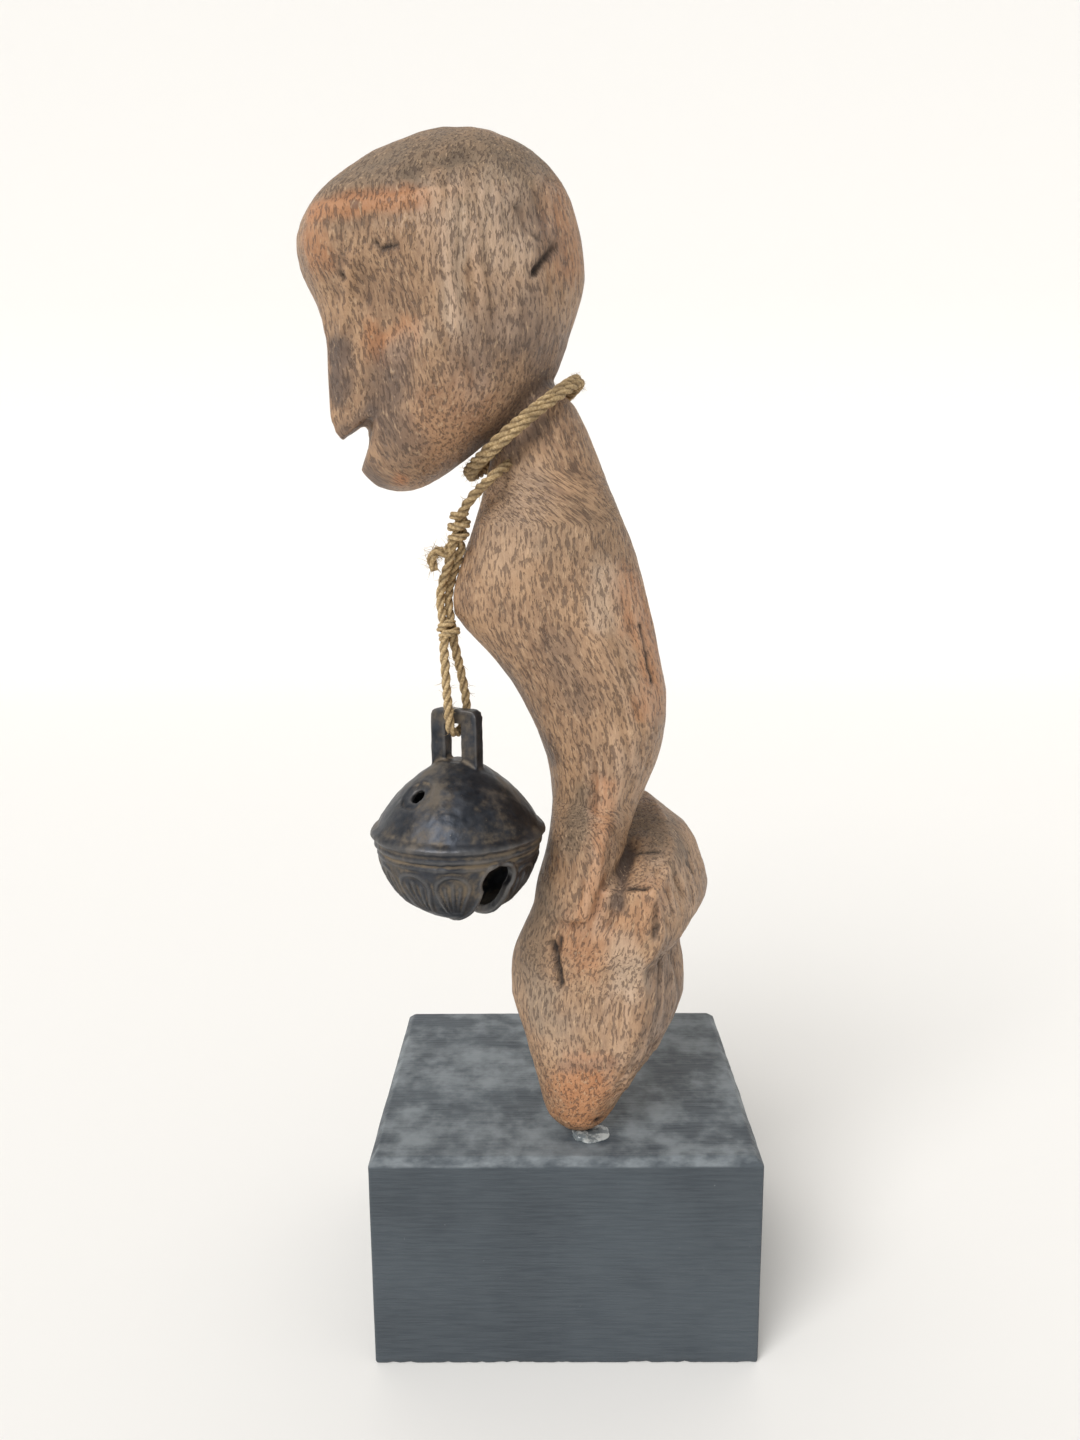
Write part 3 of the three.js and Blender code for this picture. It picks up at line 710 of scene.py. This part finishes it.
# %% [markdown]
# ## The plinth
# The plinth is a sawn block of wood with a narrow bevel round its top, painted by brush. Its form is simple, so the
# life is in its edges: the bevel is rubbed, and the lower edge is still rough from the saw. Rings of points a
# millimetre apart go up its sides, and noise moves those along the edges.

# %% The plinth
PLINTH = {"width": 96.0, "depth": 80.0, "height": 56.0, "bevel": 1.8}


def block_ring(inset, z, corner=0.7):
    """A ring round the block, so far in from its sides, with small round corners."""
    a, b = PLINTH["width"] / 2 - inset, PLINTH["depth"] / 2 - inset
    places = []
    for quarter, (sx, sy) in enumerate(((1, -1), (1, 1), (-1, 1), (-1, -1))):
        for step in np.linspace(0, 90, 5):
            angle = np.radians(quarter * 90 - 90 + step)
            places.append((sx * (a - corner) + corner * np.cos(angle), sy * (b - corner) + corner * np.sin(angle), z))
        nx, ny = ((1, 1), (-1, 1), (-1, -1), (1, -1))[quarter]
        here = np.array(places[-1])
        angle = np.radians(quarter * 90)
        there = np.array([nx * (a - corner) + corner * np.cos(angle), ny * (b - corner) + corner * np.sin(angle), z])
        for t in np.arange(1, 88) / 88:
            places.append(tuple(here + (there - here) * t))
    return places


top, bevel = PLINTH["height"], PLINTH["bevel"]
levels = [(0.45, 0.0), (0.12, 0.25), (0.0, 0.7)] + [(0.0, z) for z in np.arange(1.5, top - bevel - 0.4, 1.0)]
levels += [(0.0, top - bevel - 0.3), (0.06, top - bevel + 0.05), (0.3, top - bevel + 0.32)]
levels += [(bevel * t, top - bevel * (1 - t)) for t in (0.35, 0.5, 0.65)]
levels += [(bevel - 0.3, top - 0.3), (bevel + 0.02, top - 0.05), (bevel + 0.35, top)]
rings = np.array([block_ring(inset, z) for inset, z in levels])
flat = rings.reshape(-1, 3)
in_ward = -flat * (1, 1, 0)
in_ward = in_ward / np.linalg.norm(in_ward, axis=1)[:, None]
sawn = np.clip(noise(flat, (1.6, 1.6, 3.0), 31) + 0.15, 0, 1) * fade(flat[:, 2], 0.2, 1.6)
worn = noise(flat, (9, 9, 4), 32) * 0.16 + noise(flat, (2.5, 2.5, 2), 33) * 0.1
near_top = fade(top - flat[:, 2], 1.2, 3.0)
flat += in_ward * (0.55 * sawn + worn * near_top + 0.05 * noise(flat, 12, 34))[:, None]
plinth = stacked("painted_plinth", flat.reshape(rings.shape))
print("the plinth has", len(plinth.data.polygons), "faces")

# %% [markdown]
# ## The glue
# A dab of set glue holds the foot. It is a low, uneven drop with a small bead pushed up against the wood. Rings that
# shrink towards the middle give its dome, and noise makes its rim uneven.


# %% The glue
def drop_of_glue(name, at, radius, height, seed):
    """A low drop with an uneven rim."""
    angles = np.arange(48) / 48 * 2 * np.pi
    rim = np.stack([np.cos(angles), np.sin(angles), np.zeros(48)], axis=1)
    wander = 1 + 0.16 * noise(rim * 3 + seed, 1.6, seed)
    rings = [at + rim * (radius * wander * 0.98)[:, None] + (0, 0, 0.02)]
    for t in np.linspace(0.08, 0.97, 14):
        wide = np.cos(t * np.pi / 2) ** 0.6
        tall = height * np.sin(t * np.pi / 2) ** 0.8
        rings.append(at + rim * (radius * wander * wide)[:, None] + (0, 0, tall))
    return stacked(name, rings)


glue = drop_of_glue("set_glue", np.array([6.4, -28.6, top]), 4.5, 0.75, 5)
bead = drop_of_glue("glue_bead", np.array([4.0, -30.2, top]), 2.0, 1.5, 8)
joined(glue, bead, "UNION")
glue.data.polygons.foreach_set("use_smooth", [True] * len(glue.data.polygons))

# %% [markdown]
# ## The twine
# Jute twine is three loose plies laid together. Each ply shows as a rounded ridge that winds round the strand, so a
# ring with three lobes, turned a little further at every step of the course, gives the lay. The knots are short
# turns of the same twine round the doubled strands. Loose fibres stand off it everywhere, most of all at the cut
# end, and they are what makes it look like jute and not like wire.


# %% Twisted strands
def frames_along(line):
    """The way ahead at each step of a line, and two ways square to it that don't twist."""
    ahead_now = np.gradient(line, axis=0)
    ahead_now /= np.linalg.norm(ahead_now, axis=1)[:, None]
    side = np.cross(ahead_now[0], (0.3, 0.5, 0.8))
    sides = []
    for way in ahead_now:
        side = side - way * (side @ way)
        side = side / np.linalg.norm(side)
        sides.append(side)
    sides = np.array(sides)
    return ahead_now, sides, np.cross(ahead_now, sides)


PLIES = 3
LAY = 8.5


def strand(name, line, thick, seed, tips=(0.6, 0.6)):
    """Laid twine along an even line. Tips are how thin its two ends get, as a share of its thickness."""
    way, side, other = frames_along(line)
    step = np.linalg.norm(line[1] - line[0])
    along = np.arange(len(line)) * step
    angles = np.arange(18) / 18 * 2 * np.pi
    wander = noise(np.column_stack([along, along * 0, along * 0 + seed]), 5, seed)
    phase = angles[None, :] - (along * 2 * np.pi / LAY + wander * 0.8)[:, None]
    off = (phase * PLIES + np.pi) % (2 * np.pi) / PLIES - np.pi / PLIES
    ply, out = 0.5 * thick * 0.52, 0.5 * thick * 0.48
    radius = out * np.cos(off) + np.sqrt(np.maximum(ply**2 - (out * np.sin(off)) ** 2, 0))
    radius *= 1 + 0.1 * wander[:, None]
    for end, share in zip((along, along[-1] - along), tips):
        radius *= (share + (1 - share) * np.clip(end / (0.8 * thick), 0, 1))[:, None]
    rings = line[:, None] + radius[..., None] * (
        np.cos(angles)[None, :, None] * side[:, None] + np.sin(angles)[None, :, None] * other[:, None]
    )
    piece = stacked(name, rings)
    # the dip between the plies, which the material darkens as painted shade
    shade = np.clip((abs(off) / (np.pi / PLIES) - 0.45) * 2.2, 0, 1)
    piece.data.attributes.new("hollow", "FLOAT", "POINT").data.foreach_set("value", shade.ravel().astype(np.float32))
    return piece


def fibres(name, line, thick, count, length, seed, share=(0, 1)):
    """Loose fibres that curl off a strand, as one piece."""
    draw = np.random.default_rng(seed)
    way, side, other = frames_along(line)
    rings, faces = [], []
    for k in range(count):
        i = int(draw.uniform(*share) * (len(line) - 1))
        angle = draw.uniform(0, 2 * np.pi)
        outward = np.cos(angle) * side[i] + np.sin(angle) * other[i]
        heading = outward * draw.uniform(0.25, 0.8) + way[i] * draw.choice([-1, 1]) * draw.uniform(0.4, 1)
        heading /= np.linalg.norm(heading)
        bend_to = draw.normal(0, 0.35, 3)
        here = line[i] + outward * thick * 0.4
        reach = length * draw.uniform(0.4, 1)
        thin = draw.uniform(0.05, 0.09)
        for step in range(5):
            size = thin * (1 - 0.2 * step)
            a = np.cross(heading, (0.2, 0.9, 0.4))
            a /= np.linalg.norm(a)
            b = np.cross(heading, a)
            rings += [here + size * (np.cos(t) * a + np.sin(t) * b) for t in (0, 2.1, 4.2)]
            heading = heading + bend_to * 0.5
            heading /= np.linalg.norm(heading)
            here = here + heading * reach / 4
        base = k * 15
        for step in range(4):
            for c in range(3):
                p = base + step * 3
                faces.append((p + c, p + (c + 1) % 3, p + 3 + (c + 1) % 3, p + 3 + c))
        faces += [(base + 2, base + 1, base), (base + 12, base + 13, base + 14)]
    mesh = bpy.data.meshes.new(name)
    mesh.from_pydata((np.array(rings) * MM).tolist(), [], faces)
    mesh.polygons.foreach_set("use_smooth", [True] * len(faces))
    return new_piece(name, mesh)


# %% The twine and its knots
twine = strand("jute_twine", twine_line, STRAND * 0.98, 41, tips=(0.5, 0.75))


def knot_turns(start, end, radius, count):
    """A line that winds round the way from start to end."""
    start, end = np.array(start), np.array(end)
    way = (end - start) / np.linalg.norm(end - start)
    a = np.cross(way, (0.2, 0.9, 0.1))
    a /= np.linalg.norm(a)
    b = np.cross(way, a)
    t = np.linspace(0, 1, int(24 * count))
    spin = t * count * 2 * np.pi
    swell = radius * (0.8 + 0.2 * np.sin(t * np.pi))
    return start + np.outer(t, end - start) + swell[:, None] * (np.outer(np.cos(spin), a) + np.outer(np.sin(spin), b))


upper_knot = strand("upper_knot", course(knot_turns((-23.9, -20.0, 210.2), (-24.9, -18.9, 203.4), 1.9, 2.6), 0.3), 2.0, 42)
lower_knot = strand("lower_knot", course(knot_turns((-27.7, -18.0, 183.9), (-27.2, -18.8, 180.2), 2.0, 1.7), 0.3), 2.1, 43)
fuzz = fibres("loose_fibres", twine_line, STRAND, 700, 2.4, 44)
frayed = fibres("frayed_end", twine_line, STRAND, 140, 3.4, 45, share=(0.975, 1.0))
for thing in (upper_knot, lower_knot, fuzz, frayed):
    thing.parent = twine
print("the twine has", len(twine.data.polygons), "faces")

# %% [markdown]
# ## A short way to write materials
# A material in Blender is a small network of nodes. Written one link at a time it is long to read, so a helper adds
# a node, fills its sockets with numbers or with the outputs of other nodes, and gives back one output. Effects that
# several materials use are node groups: fine specks, long grain, and dust that settles in hollows.


# %% The helper and the shared effects
class Recipe:
    """Nodes written as sentences: each call adds one node and gives its output."""

    def __init__(self, tree):
        self.tree = tree

    def add(self, kind, sockets, out=0, **settings):
        node = self.tree.nodes.new(kind if kind.startswith("NodeGroup") else "ShaderNode" + kind)
        for name, value in settings.items():
            setattr(node, name, value)
        for name, value in sockets.items():
            self.give(node.inputs[name], value)
        return node.outputs[out]

    def give(self, socket, value):
        if isinstance(value, bpy.types.NodeSocket):
            self.tree.links.new(value, socket)
        else:
            socket.default_value = value

    def noise(self, vector, scale, detail=3.0, rough=0.55):
        return self.add("TexNoise", {"Vector": vector, "Scale": scale, "Detail": detail, "Roughness": rough})

    def stretch(self, vector, factors):
        return self.add("VectorMath", {0: vector, 1: factors}, operation="MULTIPLY")

    def shift(self, vector, by):
        return self.add("VectorMath", {0: vector, 1: by}, operation="ADD")

    def step(self, value, low, high, to_low=0.0, to_high=1.0):
        sockets = {"Value": value, "From Min": low, "From Max": high, "To Min": to_low, "To Max": to_high}
        return self.add("MapRange", sockets, interpolation_type="SMOOTHSTEP")

    def math(self, way, a, b=0.0):
        return self.add("Math", {0: a, 1: b}, operation=way)

    def blend(self, share, a, b, way="MIX"):
        return self.add("Mix", {0: share, 6: a, 7: b}, out=2, data_type="RGBA", blend_type=way)

    def painted(self, name, out="Fac"):
        return self.add("Attribute", {}, out=out, attribute_name=name)

    def group(self, name, sockets, out=0):
        node = self.tree.nodes.new("ShaderNodeGroup")
        node.node_tree = bpy.data.node_groups[name]
        for label, value in sockets.items():
            self.give(node.inputs[label], value)
        return node.outputs[out]

    def bump(self, height, strength, distance):
        return self.add("Bump", {"Height": height, "Strength": strength, "Distance": distance})


def new_group(name, inputs, output):
    """A node group with these named inputs and one named output."""
    group = bpy.data.node_groups.new(name, "ShaderNodeTree")
    for label, kind, value in inputs:
        group.interface.new_socket(label, in_out="INPUT", socket_type=kind).default_value = value
    group.interface.new_socket(output, in_out="OUTPUT", socket_type="NodeSocketFloat")
    recipe = Recipe(group)
    given = group.nodes.new("NodeGroupInput")
    made = group.nodes.new("NodeGroupOutput")
    return recipe, given.outputs, made.inputs


NUMBER, VECTOR = "NodeSocketFloat", "NodeSocketVector"
recipe, given, made = new_group("fine_specks", [("Place", VECTOR, (0, 0, 0)), ("Fineness", NUMBER, 900.0),
                                                ("Share", NUMBER, 0.3)], "Specks")
spotted = recipe.noise(given["Place"], given["Fineness"], 2.0, 0.6)
limit = recipe.math("SUBTRACT", 0.78, recipe.math("MULTIPLY", given["Share"], 0.45))
recipe.give(made["Specks"], recipe.step(recipe.math("SUBTRACT", spotted, limit), -0.03, 0.09))

recipe, given, made = new_group("long_grain", [("Place", VECTOR, (0, 0, 0)), ("Fineness", NUMBER, 600.0),
                                               ("Wander", NUMBER, 0.3)], "Lines")
bent = recipe.noise(given["Place"], 60.0, 2.0)
bent = recipe.math("MULTIPLY", recipe.math("SUBTRACT", bent, 0.5), given["Wander"])
lined = recipe.noise(given["Place"], given["Fineness"], 4.0, 0.62)
recipe.give(made["Lines"], recipe.math("ADD", lined, bent))

recipe, given, made = new_group("settled_dust", [("Place", VECTOR, (0, 0, 0)), ("Hollow", NUMBER, 0.0),
                                                 ("Amount", NUMBER, 0.5)], "Dust")
cloud = recipe.noise(given["Place"], 110.0, 5.0, 0.65)
cloud = recipe.step(cloud, 0.42, 0.68)
gathered = recipe.math("ADD", recipe.math("MULTIPLY", given["Hollow"], 0.8), recipe.math("MULTIPLY", cloud, 0.55))
gathered = recipe.math("MULTIPLY", gathered, given["Amount"])
recipe.give(made["Dust"], recipe.step(gathered, 0.0, 1.0))
print("shared effects:", sorted(group.name for group in bpy.data.node_groups))


def new_material(name):
    """A material with a bare shader, and the recipe to fill it."""
    material = bpy.data.materials.new(name)
    material.use_nodes = True
    material.node_tree.nodes.clear()
    recipe = Recipe(material.node_tree)
    shader = material.node_tree.nodes.new("ShaderNodeBsdfPrincipled")
    output = material.node_tree.nodes.new("ShaderNodeOutputMaterial")
    recipe.give(output.inputs["Surface"], shader.outputs[0])
    return material, recipe, shader.inputs


def dress(thing, material):
    thing.data.materials.clear()
    thing.data.materials.append(material)


# %% [markdown]
# ## The wood's finish
# Old wood like this has no single colour. Under everything is a tan ground with a long grain. Pores show as fine
# dark strokes along that grain, and worn fibres as lighter ones. Over it lie the painted patches, each shifting the
# colour one way, a few of them painted shade and a few painted highlights. Hollows and cracks are darkened as painted
# shade, and edges are rubbed to a lighter orange. Hands have waxed the parts that stand out, so they shine a little,
# and the stroked surface breaks that shine into glints.

# %% The wood
material, recipe, socket = new_material("carved_wood")
place = recipe.painted("grain", out="Vector")
strokes_at = recipe.stretch(place, (1.0, 1.0, 0.3))
broad = recipe.step(recipe.noise(recipe.stretch(place, (1, 1, 0.5)), 140.0, 5.0, 0.65), 0.32, 0.68)
grain_lines = recipe.group("long_grain", {"Place": strokes_at, "Fineness": 1100.0, "Wander": 0.2})
fine_lines = recipe.step(grain_lines, 0.36, 0.66)
colour = recipe.blend(broad, (0.2, 0.115, 0.066, 1), (0.42, 0.255, 0.145, 1))
colour = recipe.blend(recipe.math("MULTIPLY", fine_lines, 0.55), colour, (0.5, 0.32, 0.19, 1))
# dark patches are partly dark patina and partly painted shade, pale ones partly worn wood and partly painted highlight
for name, tint, share in (
    ("olive", (0.165, 0.125, 0.085, 1), 0.75),
    ("warm", (0.5, 0.2, 0.075, 1), 0.62),
    ("dark", (0.085, 0.06, 0.05, 1), 0.8),
    ("pale", (0.6, 0.46, 0.34, 1), 0.55),
):
    colour = recipe.blend(recipe.math("MULTIPLY", recipe.painted(name), share), colour, tint)
furrows = recipe.painted("furrow")
colour = recipe.blend(recipe.math("MULTIPLY", furrows, 0.5), colour, (0.56, 0.4, 0.29, 1))
hollow = recipe.painted("hollow")
edge = recipe.painted("edge")
colour = recipe.blend(recipe.math("MULTIPLY", edge, 0.4), colour, (0.58, 0.34, 0.19, 1))
# painted shade: hollows darkened by how deep they are
colour = recipe.blend(recipe.math("MULTIPLY", hollow, 0.6), colour, (0.075, 0.048, 0.036, 1))
pores = recipe.group("fine_specks", {"Place": strokes_at, "Fineness": 1500.0, "Share": 0.55})
colour = recipe.blend(recipe.math("MULTIPLY", pores, 0.62), colour, (0.07, 0.042, 0.03, 1))
flecks = recipe.group("fine_specks", {"Place": recipe.shift(strokes_at, (3, 1, 2)), "Fineness": 1250.0, "Share": 0.36})
colour = recipe.blend(recipe.math("MULTIPLY", flecks, 0.45), colour, (0.62, 0.42, 0.26, 1))
# painted shade: the cracks painted near-black
colour = recipe.blend(recipe.painted("crack"), colour, (0.02, 0.013, 0.01, 1))
recipe.give(socket["Base Color"], colour)
gloss = recipe.math("ADD", recipe.math("MULTIPLY", hollow, 0.25), recipe.step(broad, 0, 1, 0.42, 0.56))
gloss = recipe.math("ADD", gloss, recipe.math("MULTIPLY", recipe.painted("olive"), 0.15))
recipe.give(socket["Roughness"], gloss)
relief = recipe.math("SUBTRACT", recipe.math("MULTIPLY", fine_lines, 0.5), recipe.math("MULTIPLY", pores, 0.9))
relief = recipe.math("ADD", relief, recipe.math("MULTIPLY", flecks, 0.3))
recipe.give(socket["Normal"], recipe.bump(relief, 0.7, 0.00035))
socket["Specular IOR Level"].default_value = 0.5
dress(wood.thing, material)

# %% [markdown]
# ## The other finishes
# The bell is blackened bronze, dark and a little blue, with brown dust in its hollows, and its edges are lighter,
# partly bare metal and partly painted highlight. The plinth has flat blue-black paint with brush lines along its
# length, a few specks, and a lighter bevel, partly rubbed and partly painted highlight. The twine is tan, with painted
# shade between its plies, and dirtier round the neck. The glue has set clear and grey.

# %% The bell's finish
material, recipe, socket = new_material("blackened_bronze")
place = recipe.add("TexCoord", {}, out="Object")
cloudy = recipe.step(recipe.noise(place, 160.0, 5.0, 0.6), 0.35, 0.65)
colour = recipe.blend(cloudy, (0.022, 0.026, 0.034, 1), (0.05, 0.055, 0.066, 1))
dust = recipe.group("settled_dust", {"Place": place, "Hollow": recipe.painted("hollow"), "Amount": 1.0})
colour = recipe.blend(dust, colour, (0.17, 0.13, 0.085, 1))
# the edges lightened: partly bare metal, partly painted highlight along the rim and the shank
bare = recipe.painted("edge")
colour = recipe.blend(recipe.math("MULTIPLY", bare, 0.55), colour, (0.2, 0.19, 0.18, 1))
specks = recipe.group("fine_specks", {"Place": place, "Fineness": 900.0, "Share": 0.12})
colour = recipe.blend(recipe.math("MULTIPLY", specks, 0.5), colour, (0.3, 0.27, 0.22, 1))
recipe.give(socket["Base Color"], colour)
recipe.give(socket["Metallic"], recipe.step(dust, 0, 1, 0.75, 0.1))
recipe.give(socket["Roughness"], recipe.math("ADD", recipe.step(cloudy, 0, 1, 0.36, 0.46), recipe.math("MULTIPLY", dust, 0.3)))
pitted = recipe.noise(place, 700.0, 4.0, 0.7)
recipe.give(socket["Normal"], recipe.bump(pitted, 0.3, 0.0003))
dress(cast.thing, material)

# %% The plinth's paint
material, recipe, socket = new_material("plinth_paint")
place = recipe.add("TexCoord", {}, out="Object")
brushed = recipe.group("long_grain", {"Place": recipe.stretch(place, (0.06, 1, 1)), "Fineness": 1400.0, "Wander": 0.1})
brushed = recipe.step(brushed, 0.3, 0.7)
patchy = recipe.step(recipe.noise(place, 28.0, 4.0, 0.6), 0.3, 0.7)
colour = recipe.blend(patchy, (0.036, 0.046, 0.057, 1), (0.058, 0.073, 0.087, 1))
colour = recipe.blend(recipe.math("MULTIPLY", brushed, 0.35), colour, (0.09, 0.108, 0.123, 1))
split = recipe.add("SeparateXYZ", {0: place}, out="Z")
bevelled = recipe.math("MULTIPLY", recipe.step(split, 0.0538, 0.0545), recipe.step(split, 0.0563, 0.05595))
# the bevel band lightened in noisy patches: partly rubbed paint, partly painted highlight
bevel_wear_and_highlight = recipe.step(recipe.noise(recipe.stretch(place, (0.4, 0.4, 1)), 260.0, 4.0, 0.6), 0.35, 0.7)
colour = recipe.blend(recipe.math("MULTIPLY", bevelled, bevel_wear_and_highlight), colour, (0.2, 0.225, 0.24, 1))
specks = recipe.group("fine_specks", {"Place": place, "Fineness": 520.0, "Share": 0.02})
colour = recipe.blend(recipe.math("MULTIPLY", specks, 0.5), colour, (0.3, 0.32, 0.33, 1))
recipe.give(socket["Base Color"], colour)
recipe.give(socket["Roughness"], recipe.step(brushed, 0, 1, 0.62, 0.5))
recipe.give(socket["Normal"], recipe.bump(brushed, 0.35, 0.00025))
dress(plinth, material)

# %% The glue's finish
material, recipe, socket = new_material("set_glue")
place = recipe.add("TexCoord", {}, out="Object")
milky = recipe.step(recipe.noise(place, 500.0, 3.0), 0.4, 0.62)
recipe.give(socket["Base Color"], recipe.blend(milky, (0.13, 0.15, 0.16, 1), (0.42, 0.44, 0.43, 1)))
recipe.give(socket["Roughness"], recipe.step(milky, 0, 1, 0.16, 0.34))
recipe.give(socket["Normal"], recipe.bump(recipe.noise(place, 900.0, 3.0), 0.3, 0.0002))
socket["Transmission Weight"].default_value = 0.0
dress(glue, material)

# %% The twine's finish
material, recipe, socket = new_material("jute")
place = recipe.add("TexCoord", {}, out="Object")
threads = recipe.noise(place, 1700.0, 3.0, 0.7)
colour = recipe.blend(recipe.step(threads, 0.35, 0.68), (0.33, 0.22, 0.1, 1), (0.66, 0.49, 0.27, 1))
height = recipe.add("SeparateXYZ", {0: place}, out="Z")
dirty = recipe.math("MULTIPLY", recipe.step(height, 0.198, 0.222), recipe.step(recipe.noise(place, 220.0, 3.0), 0.3, 0.65))
colour = recipe.blend(recipe.math("MULTIPLY", dirty, 0.6), colour, (0.2, 0.135, 0.07, 1))
# painted shade between the plies
colour = recipe.blend(recipe.math("MULTIPLY", recipe.painted("hollow"), 0.75), colour, (0.09, 0.055, 0.025, 1))
recipe.give(socket["Base Color"], colour)
recipe.give(socket["Roughness"], recipe.step(threads, 0.3, 0.7, 0.92, 0.75))
recipe.give(socket["Normal"], recipe.bump(threads, 0.6, 0.0003))
for thing in (twine, upper_knot, lower_knot, fuzz, frayed):
    dress(thing, material)

# %% [markdown]
# ## The studio
# The photograph has a pale, even ground and soft light from the left, the front and above. A broad sun gives that
# light, and a pale world fills the shadows. The floor turns up into a wall far behind the figure.

# %% Floor and light
def backdrop():
    """A pale floor that turns up into a wall."""
    profile = [(-3.0, 0.0), (1.0, 0.0)]
    profile += [(1.0 + 0.6 * np.sin(a), 0.6 - 0.6 * np.cos(a)) for a in np.linspace(0.1, np.pi / 2, 14)]
    profile += [(1.6, 3.0)]
    points = [(x, y, z) for y, z in profile for x in (-4.0, 4.0)]
    faces = [(2 * i, 2 * i + 1, 2 * i + 3, 2 * i + 2) for i in range(len(profile) - 1)]
    mesh = bpy.data.meshes.new("ground")
    mesh.from_pydata(points, [], faces)
    mesh.polygons.foreach_set("use_smooth", [True] * len(faces))
    return new_piece("ground", mesh)


ground = backdrop()
material, recipe, socket = new_material("paper")
socket["Base Color"].default_value = (0.86, 0.845, 0.82, 1)
socket["Roughness"].default_value = 0.9
socket["Specular IOR Level"].default_value = 0.1
dress(ground, material)

world = bpy.data.worlds.new("room")
world.use_nodes = True
bpy.context.scene.world = world
world.node_tree.nodes["Background"].inputs["Color"].default_value = (1.0, 0.99, 0.97, 1)
world.node_tree.nodes["Background"].inputs["Strength"].default_value = 0.55

sun = bpy.data.objects.new("window", bpy.data.lights.new("window", "SUN"))
bpy.context.scene.collection.objects.link(sun)
sun.data.energy = 2.2
sun.data.angle = np.radians(35)
sun.rotation_mode = "QUATERNION"
sun.rotation_quaternion = Vector((-0.4, -0.62, 0.68)).to_track_quat("Z", "Y")
bpy.context.scene.view_settings.view_transform = "Standard"

# %% [markdown]
# ## Putting it together
# Nothing here moves, so every piece rides on the one body, and the plain pieces that each one stands for are hidden.

# %% Bodies and stand-ins
for thing, nodes, slot in (
    (wood.thing, ["figure"], "carved_wood"),
    (plinth, ["plinth"], "painted_wood"),
    (glue, ["adhesive_dab"], "set_glue"),
    (cast.thing, ["bell"], "blackened_bronze"),
    (twine, ["twine_neck_turns", "twine_drop", "twine_stub", "twine_hanger", "twine_bell_loop"], "jute_twine"),
    (upper_knot, ["twine_upper_knot"], "jute_twine"),
    (lower_knot, ["twine_lower_knot"], "jute_twine"),
):
    if thing.parent is None:
        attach(thing, "root")
    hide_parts(*nodes)
